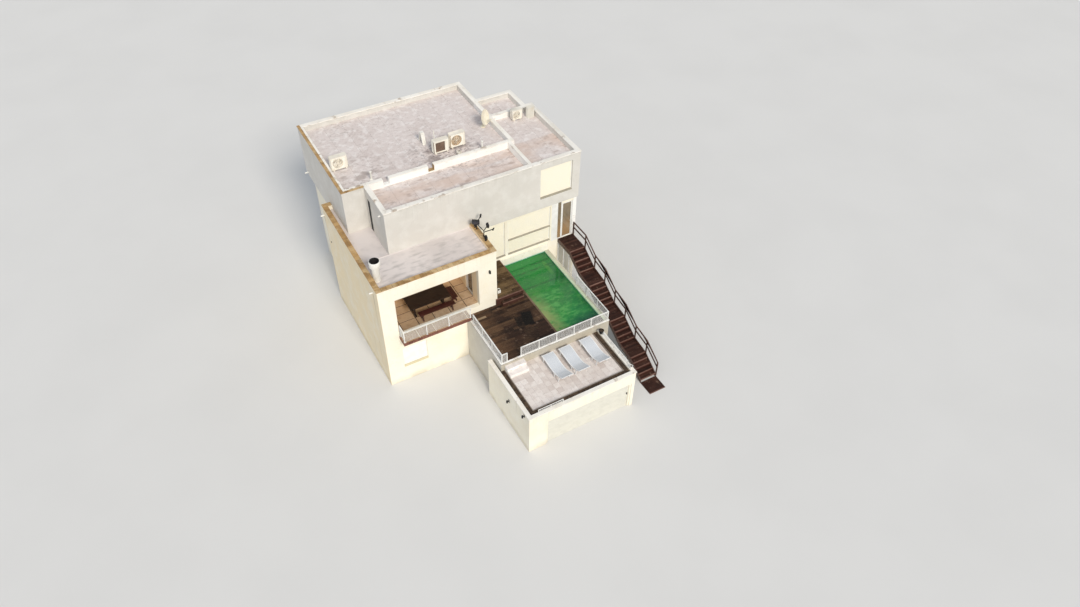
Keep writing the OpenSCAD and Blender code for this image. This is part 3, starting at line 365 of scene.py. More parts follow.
def screwing_tree():
    """Screws: a washer and a hexagonal head on every point of the carrier, turned to face out."""
    tree, given = new_tree("screw_heads", [
        ("Radius", "Float", 0.006), ("Height", "Float", 0.004), ("Turn", "Vector", (0, 0, 0))])
    shank = add(tree, "GeometryNodeMeshCylinder", {
        "Vertices": 12, "Radius": given["Radius"], "Depth": given["Height"],
    }).outputs[0]
    crown = add(tree, "GeometryNodeMeshCylinder", {
        "Vertices": 6, "Radius": maths(tree, "MULTIPLY", given["Radius"], 0.6), "Depth": given["Height"],
    }).outputs[0]
    lift = add(tree, "ShaderNodeCombineXYZ", {"Z": given["Height"]}).outputs[0]
    raised = add(tree, "GeometryNodeTransform", {"Geometry": crown, "Translation": lift}).outputs[0]
    turn = add(tree, "FunctionNodeEulerToRotation", {0: given["Turn"]}).outputs[0]
    each = add(tree, "GeometryNodeInstanceOnPoints", {
        "Points": given["Geometry"], "Instance": joined(tree, shank, raised), "Rotation": turn,
    }).outputs[0]
    return close_tree(tree, each, given["Material"])


def strewing_tree():
    """Soil: clods and small stones strewn over the carrier, each turned and sized at random."""
    tree, given = new_tree("strewn_clods", [
        ("Density", "Float", 300.0), ("Size", "Float", 0.02), ("Seed", "Int", 3)])
    strewn = add(tree, "GeometryNodeDistributePointsOnFaces", {
        "Mesh": given["Geometry"], "Density": given["Density"], "Seed": given["Seed"],
    }, distribute_method="RANDOM").outputs[0]
    clod = add(tree, "GeometryNodeMeshIcoSphere", {"Radius": given["Size"], "Subdivisions": 1}).outputs[0]
    turn, large = (add(tree, "FunctionNodeRandomValue", {0: low, 1: high, "Seed": seed},
                       data_type="FLOAT_VECTOR").outputs[0]
                   for low, high, seed in (((0, 0, 0), (6, 6, 6), 5), ((0.3, 0.3, 0.2), (1.3, 1.2, 0.8), 6)))
    each = add(tree, "GeometryNodeInstanceOnPoints", {
        "Points": strewn, "Instance": clod, "Rotation": turn, "Scale": large,
    }).outputs[0]
    return close_tree(tree, joined(tree, given["Geometry"], each), given["Material"])


def water_tree():
    """Still water: a grid of the basin's size that a slow noise lifts and lowers a little."""
    tree, given = new_tree("pool_water", [
        ("Length", "Float", 5.0), ("Width", "Float", 2.5), ("Ripple", "Float", 0.006),
        ("Ripple size", "Float", 0.5)])
    grid = add(tree, "GeometryNodeMeshGrid", {
        "Size X": given["Width"], "Size Y": given["Length"], "Vertices X": 60, "Vertices Y": 120,
    }).outputs[0]
    place = add(tree, "GeometryNodeInputPosition").outputs[0]
    scale = maths(tree, "DIVIDE", 1.0, given["Ripple size"])
    noise = add(tree, "ShaderNodeTexNoise", {"Vector": place, "Scale": scale, "Detail": 2.0}).outputs[0]
    height = maths(tree, "MULTIPLY", maths(tree, "SUBTRACT", noise, 0.5), given["Ripple"])
    lift = add(tree, "ShaderNodeCombineXYZ", {"Z": height}).outputs[0]
    moved = add(tree, "GeometryNodeSetPosition", {"Geometry": grid, "Offset": lift}).outputs[0]
    return close_tree(tree, moved, given["Material"])


TREES = {
    "laying": laying_tree, "stacking": stacking_tree, "screwing": screwing_tree,
    "strewing": strewing_tree, "water": water_tree,
}


def grown(name, kind, carrier, finish, rounding=0.0, **values):
    """Runs a geometry tree over a carrier mesh and keeps what it makes as a plain mesh."""
    tree = bpy.data.node_groups.get(kind + "_tree")
    if tree is None:
        tree = TREES[kind]()
        tree.name = kind + "_tree"
    obj = piece(name, carrier)
    modifier = obj.modifiers.new("Making", "NODES")
    modifier.node_group = tree
    values = {k.replace("_", " ").capitalize(): v for k, v in values.items()}
    values["Material"] = look(finish)
    for item in tree.interface.items_tree:
        if item.item_type == "SOCKET" and item.in_out == "INPUT" and item.name in values:
            modifier[item.identifier] = values[item.name]
    if rounding:
        bevel = obj.modifiers.new("Eased edges", "BEVEL")
        bevel.width, bevel.segments, bevel.limit_method = rounding, 1, "ANGLE"
    shown = obj.evaluated_get(bpy.context.evaluated_depsgraph_get())
    mesh = bpy.data.meshes.new_from_object(shown)
    obj.modifiers.clear()
    obj.data = mesh
    mesh.name = name
    if not len(mesh.polygons):
        raise RuntimeError(name + " came out empty")
    return obj


# Boards and tiles

def rect(x0, x1, y0, y1, z):
    """A flat rectangle that faces up."""
    return [(x0, y0, z), (x1, y0, z), (x1, y1, z), (x0, y1, z)]


def sheet_of(name, quads):
    """A mesh of separate quads, the carrier that the laying tree works on."""
    mesh = bpy.data.meshes.new(name)
    points = [p for q in quads for p in q]
    mesh.from_pydata(points, [], [tuple(range(4 * i, 4 * i + 4)) for i in range(len(quads))])
    return mesh


def laid(name, quads, thickness, finish, uneven=0.0, rounding=0.004, seed=1, replaces=()):
    """Boards, tiles or stones on the given quads, as one piece of the house."""
    obj = grown(
        name, "laying", sheet_of(name, quads), finish, rounding=rounding,
        thickness=thickness, unevenness=uneven, seed=seed,
    )
    return keep(obj, HOUSE, replaces)


def screwed(name, points, radius, height, turn=(0, 0, 0)):
    """Galvanised screw heads at the given points."""
    mesh = bpy.data.meshes.new(name)
    mesh.from_pydata([tuple(p) for p in points], [], [])
    return keep(grown(name, "screwing", mesh, "steel", radius=radius, height=height, turn=turn), HOUSE)


def line(x0, x1, y0, y1, z, count, gap, along="X"):
    """Quads for count blocks in a line along X or Y, each with a gap after it."""
    if along == "X":
        step = (x1 - x0) / count
        return [rect(x0 + i * step, x0 + (i + 1) * step - gap, y0, y1, z) for i in range(count)]
    step = (y1 - y0) / count
    return [rect(x0, x1, y0 + i * step, y0 + (i + 1) * step - gap, z) for i in range(count)]


def courses(y0, y1, width, gap):
    """The front and rear edges of courses about as wide as width, which fill a depth evenly."""
    rows = max(1, round((y1 - y0 + gap) / (width + gap)))
    pitch = (y1 - y0 + gap) / rows
    return [(y0 + row * pitch, y0 + row * pitch + pitch - gap) for row in range(rows)]


def boards(x0, x1, y0, y1, z, width, gap, longest, chance):
    """Quads for boards side by side, cut to lengths under longest, with their ends staggered."""
    quads = []
    for low, high in courses(y0, y1, width, gap):
        start, cut = x0, x0 + longest * chance.uniform(0.35, 1.0)
        while start < x1 - 1e-6:
            end = x1 if x1 - cut < 0.35 else cut
            quads.append(rect(start, end if end == x1 else end - gap, low, high, z))
            start, cut = end, end + longest * chance.uniform(0.7, 1.0)
    return quads


def tiles(x0, x1, y0, y1, z, length, width, gap):
    """Quads for tiles in courses along X, cut at the edges."""
    quads = []
    for low, high in courses(y0, y1, width, gap):
        start = x0
        while start < x1 - 0.01:
            end = min(start + length - gap, x1)
            if end - start > 0.02:
                quads.append(rect(start, end, low, high, z))
            start += length
    return quads


# Colours and patterns

def linear(code):
    """An sRGB hex colour as the linear values that a shader takes."""
    parts = [int(code[i:i + 2], 16) / 255 for i in (0, 2, 4)]
    return tuple(c / 12.92 if c <= 0.04045 else ((c + 0.055) / 1.055) ** 2.4 for c in parts) + (1.0,)


# What a user would change

def length(title, text, value, low, high):
    """A size in metres with its title and help."""
    return FloatProperty(name=title, description=text, default=value, min=low, max=high,
                         subtype="DISTANCE", unit="LENGTH", precision=3)


def colour(title, text, code):
    """A colour with its title and help."""
    return FloatVectorProperty(name=title, description=text, default=linear(code)[:3], size=3,
                               min=0.0, max=1.0, subtype="COLOR")


class BeachHouseSizes(bpy.types.PropertyGroup):
    """Sizes of what the builders laid on the shell."""
    deck_board: length("Deck board width", "Width of one board of the decks", 0.140, 0.08, 0.25)
    deck_gap: length("Deck board gap", "Gap between two boards of the decks", 0.007, 0.003, 0.02)
    deck_board_length: length("Deck board length", "Longest board of the decks", 2.4, 1.0, 4.0)
    coping_tile: length("Coping tile", "Length of one ochre tile along a parapet", 0.30, 0.15, 0.6)
    joint: length("Tile joint", "Width of the joints between tiles", 0.008, 0.003, 0.02)
    loggia_joint: length("Loggia joint", "Width of the joints between the loggia's slabs", 0.034, 0.003, 0.04)
    loggia_slab_length: length("Loggia slab length", "Length of a stone slab in the loggia", 0.90, 0.3, 1.2)
    loggia_slab_width: length("Loggia slab width", "Width of a stone slab in the loggia", 0.60, 0.3, 1.2)
    terrace_tile: length("Terrace tile", "Side of a terrace tile", 0.33, 0.2, 0.6)
    roof_sheet: length("Roofing width", "Width of one sheet of roofing", 1.0, 0.5, 2.0)
    slat: length("Shutter slat", "Height of one slat of a roller shutter", 0.052, 0.03, 0.08)
    water_depth: length("Water below the deck", "From the deck's top down to the water", 0.10, 0.03, 0.4)
    soil_depth: length("Soil below the kerb", "From a planter kerb's top down to the soil", 0.015, 0.0, 0.04)


class BeachHouseColours(bpy.types.PropertyGroup):
    """Colours of the main finishes."""
    render: colour("Cream render", "The wing's and the garage's painted render", "F9F3E1")
    upper: colour("Upper render", "The upper storey's painted render", "D7D3CB")
    ochre: colour("Ochre tiles", "The clay tiles on the parapets of the wing", "B8935F")
    deck: colour("Deck boards", "The weathered boards of the decks", "35241B")
    water: colour("Pool water", "The algae-green water of the pool", "1B7B32")
    slabs: colour("Loggia slabs", "The stone slabs of the loggia's floor", "BDA080")
    roofing: colour("Roofing", "The coated roofing of the main roofs", "DDD3CE")
    shutters: colour("Shutters", "The slats of the roller shutters", "F3EDDA")
    steel: colour("Railings", "The enamelled steel of the railings", "F0F0EC")


def sizes():
    """The sizes that the panel shows."""
    return bpy.context.scene.beach_house_sizes



def tint(code):
    """A hex colour, or the panel's colour of that name, as a shader takes it."""
    if code in BeachHouseColours.__annotations__:
        return tuple(getattr(bpy.context.scene.beach_house_colours, code)) + (1.0,)
    return linear(code)


class Finish:
    """A material under way: its tree, its shader and the place on the piece, in metres."""

    def __init__(self, name, roughness, **more):
        self.material = bpy.data.materials.new(name)
        self.material.use_nodes = True
        self.tree = self.material.node_tree
        self.tree.nodes.clear()
        self.shader = add(self.tree, "ShaderNodeBsdfPrincipled", {"Roughness": roughness})
        for key, value in more.items():
            self.shader.inputs[key.replace("_", " ")].default_value = value
        add(self.tree, "ShaderNodeOutputMaterial", {"Surface": self.shader.outputs[0]})
        self.where = add(self.tree, "ShaderNodeTexCoord").outputs["Object"]

    def ramp(self, value, low, high, top=1.0):
        """0 where a value is at low and top where it is at high, and level beyond them."""
        return add(self.tree, "ShaderNodeMapRange", {
            "Value": value, "From Min": low, "From Max": high, "To Max": top,
        }).outputs[0]

    def spots(self, size, low=0.45, high=0.62, strength=1.0, stretch=(1, 1, 1), seed=0.0, detail=5.0):
        """Patches about as large as size, in metres: 0 under low in the noise, strength over high."""
        placed = add(self.tree, "ShaderNodeMapping", {
            "Vector": self.where, "Location": (seed, seed * 0.7, seed * 1.3),
            "Scale": tuple(1 / (size * s) for s in stretch),
        }).outputs[0]
        noise = add(self.tree, "ShaderNodeTexNoise", {"Vector": placed, "Scale": 1.0, "Detail": detail})
        return self.ramp(noise.outputs[0], low, high, strength)

    def grain(self, width, seed=0.0):
        """Wood grain: fine lines that run along X, width apart, in metres."""
        return self.spots(width, 0.35, 0.65, 1.0, (14, 1, 1), seed, 3.0)

    def along(self, axis, place=None):
        """The place along an axis, in metres."""
        return add(self.tree, "ShaderNodeSeparateXYZ", {0: place or self.where}).outputs["XYZ".index(axis)]

    def slope(self, axis, start, end, strength=1.0):
        """0 at start and strength at end along an axis, in metres, and level beyond them."""
        return self.ramp(self.along(axis), start, end, strength)

    def off(self, value, middle):
        """How far a value lies from a middle, on either side."""
        return maths(self.tree, "ABSOLUTE", maths(self.tree, "SUBTRACT", value, middle))

    def around(self, centre, radius, core, strength, squeeze):
        """strength within a core round a point, down to 0 at a radius from it, in metres."""
        moved = add(self.tree, "ShaderNodeMapping", {
            "Vector": self.where, "Scale": squeeze,
            "Location": tuple(-c * s for c, s in zip(centre, squeeze)),
        }).outputs[0]
        far = add(self.tree, "ShaderNodeVectorMath", {0: moved}, operation="LENGTH").outputs["Value"]
        return self.ramp(far, radius, core, strength)

    def both(self, *masks):
        """Where all the masks meet."""
        result = masks[0]
        for mask in masks[1:]:
            result = maths(self.tree, "MULTIPLY", result, mask)
        return result

    def shadow_patch(self, centre, turn, half, strength):
        """strength inside a turned rectangle on a level surface, with soft edges; turn is in degrees."""
        a = math.radians(-turn)
        x, y = centre
        moved = add(self.tree, "ShaderNodeMapping", {
            "Vector": self.where, "Rotation": (0.0, 0.0, a),
            "Location": (y * math.sin(a) - x * math.cos(a), -x * math.sin(a) - y * math.cos(a), 0.0),
        }).outputs[0]
        return self.both(*(
            self.ramp(self.off(self.along("XY"[i], moved), 0.0), half[i] + 0.04, half[i] - 0.03, most)
            for i, most in ((0, strength), (1, 1.0))))

    def tone(self):
        """The random value that the laying tree gave each board or tile."""
        return add(self.tree, "ShaderNodeAttribute", attribute_name="tone").outputs["Fac"]

    def washes(self, given):
        """Layers that colour one end of the piece: a slope's axis, start, end and strength, and a colour."""
        return [(self.slope(*slope), code) for *slope, code in given]

    def paint(self, base, layers, bumps=(), rough=None):
        """Lays colours over a base through masks, cuts bumps of a depth in metres, varies the gloss,
        and gives the finished material."""
        colour = tint(base)
        for mask, code in layers:
            colour = add(self.tree, "ShaderNodeMix", {
                0: mask, 6: colour, 7: linear(code)}, data_type="RGBA").outputs[2]
        self.tree.links.new(colour, self.shader.inputs["Base Color"])
        normal = None
        for mask, depth in bumps:
            wires = {"Height": mask, "Distance": depth, "Strength": 1.0}
            if normal:
                wires["Normal"] = normal
            normal = add(self.tree, "ShaderNodeBump", wires).outputs[0]
        if normal:
            self.tree.links.new(normal, self.shader.inputs["Normal"])
        if rough:
            mask, low, high = rough
            gloss = add(self.tree, "ShaderNodeMapRange", {"Value": mask, "To Min": low, "To Max": high})
            self.tree.links.new(gloss.outputs[0], self.shader.inputs["Roughness"])
        return self.material


# Walls and stone

def cement_render(name, base, cloud, pale, streak, top, dusty=True, stains=(), washes=()):
    """Painted cement render, floated by hand: soft clouds, rain streaks under the coping, and
    a dusty foot. Its sand is 1 to 2 mm, drawn at 9 mm so that it shows from a few metres."""
    m = Finish(name, 0.9)
    layers = m.washes(washes) + [
        (m.spots(2.2, 0.40, 0.66, 0.5, detail=6), cloud),
        (m.spots(0.55, 0.46, 0.72, 0.4, seed=4), pale),
        (m.spots(0.10, 0.56, 0.72, 0.35, seed=9, detail=8), cloud),
        (m.both(m.spots(0.09, 0.52, 0.78, 0.22, (1, 1, 26), 2, 3),
                m.slope("Z", top - 1.3, top - 0.05)), streak),
        (m.both(m.spots(0.35, 0.42, 0.62, 0.35, (1, 1, 0.5), 12), m.slope("Z", top - 0.16, top)), streak),
    ]
    if dusty:
        dust = m.both(m.slope("Z", 0.45, 0.0), m.spots(0.5, 0.3, 0.65, 0.5, (1, 1, 2), 7))
        layers.append((dust, "B3A484"))
    for place, wide, high, low, code in stains:
        thin = m.ramp(m.off(m.along("Y"), place), wide, 0.0, 0.85)
        ragged = m.spots(0.05, 0.3, 0.7, 1.0, (1, 1, 20), place)
        run = m.both(thin, ragged, m.slope("Z", high + 0.01, high), m.slope("Z", low, high))
        layers.append((run, code))
    sand = m.spots(0.009, 0.3, 0.7, detail=3)
    float_marks = m.spots(0.16, 0.3, 0.7, seed=5, stretch=(1.6, 1.6, 1), detail=2)
    return m.paint(base, layers, [(float_marks, 0.004), (sand, 0.0016)], (sand, 0.82, 0.95))


def painted_stone(name, base, edge, dirt, washes=()):
    """White masonry paint on concrete, worn by sun and rain: chalky, with brown bloom where
    water stands and hairline flakes."""
    m = Finish(name, 0.8)
    flakes = m.both(m.spots(0.16, 0.56, 0.66, 0.75, (2.2, 2.2, 1), 3, 8),
                    m.spots(1.3, 0.45, 0.58, seed=8))
    layers = m.washes(washes) + [
        (m.spots(0.8, 0.42, 0.62, 0.5), edge), (flakes, dirt),
        (m.spots(0.05, 0.62, 0.74, 0.4, seed=6, detail=8), dirt),
    ]
    coarse = m.spots(0.012, 0.3, 0.7, detail=3)
    return m.paint(base, layers, [(coarse, 0.0014)], (coarse, 0.7, 0.9))


def ochre_tile():
    """Fired clay coping tiles, glazed thinly and weathered: each of its own brown, mottled
    with dark burns and pale lime bloom."""
    m = Finish("ochre_clay_coping", 0.6)
    each = m.tone()
    layers = [
        (m.ramp(each, 0.45, 1.0, 0.45), "7F6139"), (m.ramp(each, 0.35, 0.0, 0.4), "CFB587"),
        (m.spots(0.40, 0.48, 0.62, 0.7, seed=2, detail=4), "87673B"),
        (m.spots(0.45, 0.50, 0.64, 0.6, seed=5, detail=4), "CFB88F"),
        (m.spots(0.16, 0.58, 0.7, 0.45, seed=8, detail=5), "7A6040"),
    ]
    rough = m.spots(0.01, 0.3, 0.7, detail=3)
    return m.paint("ochre", layers, [(rough, 0.0012)], (rough, 0.5, 0.75))


def plain_mineral(name, base, cloud, speck):
    """Mortar, screed or sawn stone: fine grit with soft clouds of a second colour."""
    m = Finish(name, 0.9)
    grit = m.spots(0.012, 0.3, 0.7, detail=4)
    layers = [
        (m.spots(0.7, 0.4, 0.64, 0.7), cloud),
        (m.spots(0.036, 0.55, 0.72, 0.45, seed=4, detail=6), speck),
    ]
    return m.paint(base, layers, [(grit, 0.001)], (grit, 0.7, 0.9))


def roof_membrane():
    """Bitumen roofing under a coat of reflective paint: pinkish white, with grey and brown dirt
    where puddles dry, thickest in front of the air units and along the front strip."""
    m = Finish("coated_roof_membrane", 0.75)
    front, high = L["main_front"], L["top"] - 0.3
    pair = m.around((0.3, front + 1.1, high), 2.6, 0.2, 1.0, (1, 1.3, 0.2))
    corner_dirt = m.around((-4.2, front + 1.5, high), 2.4, 0.2, 0.8, (1, 1.4, 0.2))
    strip = m.slope("Y", front + 0.05, front - 0.05)
    worn = m.spots(0.45, 0.5, 0.62, 0.85, (1.5, 1, 1), 2, 9)
    fine = m.spots(0.12, 0.52, 0.64, 0.8, (1.4, 1, 1), 5, 9)
    layers = [
        (m.ramp(m.tone(), 0.0, 1.0, 0.4), "D6CAC4"),
        (m.spots(1.8, 0.44, 0.64, 0.6, (1.3, 1, 1), 3, 6), "D0C4BE"),
        (m.spots(0.35, 0.5, 0.64, 0.5, seed=9, detail=7), "F1ECE8"),
        (m.spots(0.16, 0.52, 0.68, 0.35, (1.6, 1, 1), 15, 8), "B3A69F"),
        (m.spots(0.06, 0.60, 0.70, 0.45, seed=19, detail=6), "948780"),
        (m.both(strip, m.spots(0.9, 0.42, 0.62, 0.6, (2.6, 1, 1), 6, 7)), "D2B9A8"),
        (m.both(fine, m.spots(1.4, 0.46, 0.62, 0.5, seed=7)), "A3968F"),
        (m.both(worn, pair), "7D6F6A"),
        (m.both(fine, pair), "63575A"),
        (m.both(worn, corner_dirt), "9A8C84"),
        (m.both(m.spots(0.3, 0.56, 0.68, 0.5, (2, 1, 1), 11, 7), strip), "9C8578"),
    ]
    crumb = m.spots(0.014, 0.3, 0.7, detail=3)
    swell = m.spots(0.5, 0.3, 0.7, seed=3, detail=2)
    return m.paint("roofing", layers, [(swell, 0.006), (crumb, 0.0012)], (fine, 0.72, 0.9))


def deck_board(name, base, dark, pale, washes=(), painted_shadows=()):
    """Tropical hardwood boards, oiled once and weathered: dark brown with reddish and greyed
    boards among them, and where they are given, a painted pool of light and near-black
    painted shadows. Grain lines are 2 to 4 mm apart, drawn at 7 mm."""
    m = Finish(name, 0.6, Specular_IOR_Level=0.2)
    each = m.tone()
    lines = m.grain(0.007)
    layers = m.washes(washes) + [
        (m.ramp(each, 0.6, 1.0, 0.8), dark), (m.ramp(each, 0.32, 0.0, 0.8), pale),
        (m.both(lines, m.spots(0.5, 0.35, 0.6, 0.6, seed=2)), dark),
        (m.both(m.grain(0.02, 4), m.spots(0.8, 0.5, 0.62, 0.6, seed=5)), pale),
        (m.spots(0.25, 0.6, 0.72, 0.4, seed=8, detail=8), "8D7764"),
    ]
    # Near-black turned patches: painted shadows cast onto the boards.
    layers += [(m.shadow_patch(*place), code) for *place, code in painted_shadows]
    return m.paint(base, layers, [(lines, 0.0009)], (lines, 0.5, 0.75))


def stained_wood(name, base, dark, rough=(0.3, 0.5)):
    """Varnished furniture wood: a thin coat over fine grain."""
    m = Finish(name, 0.4, Coat_Weight=0.25, Coat_Roughness=0.2)
    lines = m.grain(0.006)
    layers = [(m.both(lines, m.spots(0.4, 0.35, 0.65, 0.8)), dark),
              (m.spots(0.15, 0.55, 0.72, 0.35, seed=6, detail=6), dark)]
    return m.paint(base, layers, [(lines, 0.0005)], (lines, *rough))


def painted_steel(name, base, rust=0.0, gloss=(0.35, 0.5), chalk="C9C7C0"):
    """Steel or aluminium under sprayed enamel: slight orange peel, chalked by the sun, with
    rust bleeding through at the welds where there is any."""
    m = Finish(name, gloss[0])
    peel = m.spots(0.01, 0.3, 0.7, detail=2)
    layers = [(m.spots(0.35, 0.45, 0.65, 0.5), chalk)]
    if rust:
        layers.append((m.spots(0.07, 0.66, 0.74, rust, seed=3, detail=8), "8A4B25"))
        layers.append((m.spots(0.035, 0.68, 0.76, rust, seed=6, detail=8), "5E3520"))
    return m.paint(base, layers, [(peel, 0.0003)], (m.spots(0.2, 0.3, 0.7, seed=2), *gloss))


def moulded_plastic(name, base, shade):
    """Polypropylene from a mould: a fine satin grain, scuffed a little and yellowed by sun."""
    m = Finish(name, 0.25)
    fine = m.spots(0.006, 0.35, 0.65, detail=2)
    layers = [(m.spots(0.3, 0.45, 0.65, 0.5), shade),
              (m.spots(0.04, 0.66, 0.76, 0.5, seed=5, detail=8), shade)]
    return m.paint(base, layers, [(fine, 0.0002)], (fine, 0.25, 0.4))


def woven_sling():
    """PVC-coated polyester mesh, stretched over the frame: square threads 2 mm apart, drawn at
    8 mm so that the weave shows. Its pattern runs on the piece's own UV map, in metres."""
    m = Finish("woven_sling_mesh", 0.55, Sheen_Weight=0.15, Sheen_Roughness=0.5)
    flat = add(m.tree, "ShaderNodeUVMap", uv_map="weave").outputs[0]
    thread = m.both(*(
        add(m.tree, "ShaderNodeTexWave", {"Vector": flat, "Scale": 1 / 0.008 / 2, "Distortion": 0.0},
            wave_type="BANDS", bands_direction=way, wave_profile="SIN").outputs["Fac"] for way in "XY"))
    layers = [(m.ramp(thread, 0.3, 0.0, 0.5), "A9AEB5"), (m.spots(0.3, 0.5, 0.66, 0.4), "CDD2D8")]
    return m.paint("DDE0E3", layers, [(thread, 0.0007)], (thread, 0.5, 0.65))


def window_pane(name, body, dirt, clear=0.8, washes=()):
    """Float glass, lightly dusted: its body shows its colour at the edge, under a faint film."""
    m = Finish(name, 0.03, IOR=1.52, Transmission_Weight=clear)
    dust = m.spots(0.25, 0.45, 0.75, 0.5, (1, 1, 2), 1, 6)
    return m.paint(body, m.washes(washes) + [(dust, dirt)], (), (dust, 0.02, 0.12))


def lamp_lens():
    """Pressed borosilicate lamp glass, ribbed inside, over an unlit lamp: blue-black and glossy."""
    m = Finish("pressed_lamp_glass", 0.12, IOR=1.47, Coat_Weight=0.5)
    wave = add(m.tree, "ShaderNodeTexWave", {"Vector": m.where, "Scale": 40.0, "Distortion": 0.3})
    ribs = wave.outputs["Fac"]
    return m.paint("2C303C", [(ribs, "1E212A")], [(ribs, 0.0008)], (ribs, 0.12, 0.25))


def pool_water_look():
    """Still water gone green with algae: bright green, pale where it is shallow at the front
    left, deep at the right and the back, with the shadows of sunken steps and a painted
    reflection as a lighter streak near the right back."""
    m = Finish("green_pool_water", 0.04, IOR=1.333, Coat_Weight=0.6, Coat_Roughness=0.03)
    x0, x1, y0, y1 = L["pool_left"], L["pool_right"], L["pool_front"], L["pool_back"]
    edge = m.both(m.slope("X", x0 + 0.85, x0 + 0.1, 0.95), m.slope("Y", y0 + 3.6, y0 + 1.6),
                  m.spots(0.35, 0.25, 0.5, 1.0, seed=3, detail=7))
    curls = m.both(m.spots(0.22, 0.46, 0.6, 0.75, (1.8, 1, 1), 13, 7), m.slope("Y", y0 + 3.4, y0 + 2.6))
    deep = m.both(m.spots(0.5, 0.48, 0.62, 0.6, (2.2, 1, 1), 17, 7), m.slope("Y", y1 - 0.6, y1 - 1.6))
    # A lighter green streak near the right back: a painted reflection on the water.
    painted_reflection = m.both(m.slope("X", x1 - 0.62, x1 - 0.56), m.slope("X", x1 - 0.34, x1 - 0.40),
                    m.slope("Y", y1 - 1.9, y1 - 1.6), m.slope("Y", y1 - 0.5, y1 - 0.9, 0.4))
    right = m.both(m.slope("X", x1 - 0.9, x1 - 0.05, 0.8), m.spots(0.9, 0.3, 0.55, seed=6))
    low = m.both(m.slope("Y", y0 + 0.9, y0, 0.9), m.slope("X", x0 + 0.7, x0 + 1.6))
    layers = [
        (m.spots(1.1, 0.42, 0.6, 0.6, seed=2, detail=6), "1A7031"),
        (m.slope("Y", y1 - 1.9, y1 - 0.3, 0.45), "128334"), (curls, "48984B"), (deep, "126C33"),
        (right, "094F26"), (low, "064C35"), (edge, "86935A"), (painted_reflection, "4A9239"),
    ]
    for place, depth in ((0.55, 0.05), (0.95, 0.05), (2.15, 0.07)):
        wobble = m.spots(0.5, 0.0, 1.0, 0.12, seed=place, detail=2)
        wavy = maths(m.tree, "ADD", m.along("Y"), wobble)
        thin = m.ramp(m.off(wavy, y1 - place), depth * 1.8, depth * 0.4, 0.6)
        layers.append((m.both(thin, m.spots(0.5, 0.3, 0.5, 1.0, seed=place)), "0A4F27"))
    layers.append((m.spots(0.09, 0.6, 0.72, 0.45, (2, 1, 1), 8, 6), "52AD57"))
    ripple = m.spots(0.16, 0.3, 0.7, seed=4, detail=3)
    return m.paint("water", layers, [(ripple, 0.004)], (ripple, 0.02, 0.07))


def basin_tile():
    """Glazed pool tiles, 50 mm square in grey grout, with a green line of algae. Cream render
    begins at the deck's height."""
    m = Finish("glazed_pool_tile", 0.2)
    flat = add(m.tree, "ShaderNodeCombineXYZ", {
        0: maths(m.tree, "ADD", m.along("X"), m.along("Y")), 1: m.along("Z")}).outputs[0]
    gap = add(m.tree, "ShaderNodeTexBrick", {
        "Vector": flat, "Scale": 1.0, "Mortar Size": 0.002, "Mortar Smooth": 0.1,
        "Brick Width": 0.05, "Row Height": 0.05,
    }, offset=0.0).outputs["Fac"]
    above = m.slope("Z", L["deck"] - 0.04, L["deck"] - 0.03)
    layers = [
        (m.spots(0.3, 0.4, 0.65, 0.6), "7FB6A4"),
        (m.slope("Z", L["deck"] - 0.02, L["deck"] - 0.16, 0.7), "5E8C54"), (gap, "A9B3AC"),
        (above, "F3EEDF"), (m.both(above, m.spots(0.2, 0.5, 0.66, 0.5, seed=3)), "E3DAC4"),
        (m.both(above, m.slope("X", L["pool_right"] - 0.03, L["pool_right"] - 0.01),
                m.slope("Y", L["pool_back"] - 0.01, L["pool_back"] - 0.03)), "D3DDC0"),
    ]
    return m.paint("9CCFC2", layers, [(gap, -0.001)], (gap, 0.15, 0.7))


def laid_tile(name, base, dark, pale, speck, gloss=(0.5, 0.8)):
    """Stone or clay tiles, each a little different, with pits and stains."""
    m = Finish(name, gloss[1])
    each = m.tone()
    pits = m.spots(0.02, 0.3, 0.7, detail=5)
    layers = [
        (m.ramp(each, 0.55, 1.0, 0.7), dark), (m.ramp(each, 0.4, 0.0, 0.7), pale),
        (m.spots(0.25, 0.48, 0.66, 0.5, seed=3, detail=7), dark),
        (m.spots(0.05, 0.6, 0.72, 0.5, seed=6, detail=6), speck),
    ]
    return m.paint(base, layers, [(pits, 0.0012)], (pits, *gloss))


def garden_soil():
    """Dry planting soil with grit in it: dark brown, dusty on top."""
    m = Finish("dry_planting_soil", 0.95)
    crumb = m.spots(0.02, 0.35, 0.65, detail=6)
    layers = [(crumb, "4B3A2C"), (m.spots(0.2, 0.45, 0.65, 0.7), "6A5642"),
              (m.spots(0.03, 0.66, 0.74, 0.8, seed=4), "A59984")]
    return m.paint("33271D", layers, [(crumb, 0.008)])


def pale_floor():
    """The studio's pale floor: matte, very lightly mottled so that it isn't dead flat."""
    m = Finish("pale_studio_floor", 0.9)
    return m.paint("D9D8D5", [(m.spots(6.0, 0.4, 0.65, 0.35), "D2D1CE")])


def roof_screed():
    """Cement screed on the wing's roof, trowelled smooth: light grey, with dust along the upper wall."""
    m = Finish("trowelled_roof_screed", 0.85)
    foot = m.slope("Y", L["upper_front"] - 0.05, L["upper_front"] - 0.6)
    layers = [
        (m.spots(1.6, 0.42, 0.62, 0.7, detail=6), "C6BEBA"),
        (m.spots(0.4, 0.54, 0.68, 0.25, seed=4, detail=7), "B0ACA9"),
        (m.both(foot, m.spots(0.25, 0.5, 0.66, 0.45, (3, 1, 1), 6, 8)), "97928E"),
    ]
    grit = m.spots(0.01, 0.3, 0.7, detail=3)
    return m.paint("D6CECA", layers, [(grit, 0.0008)], (grit, 0.75, 0.9))


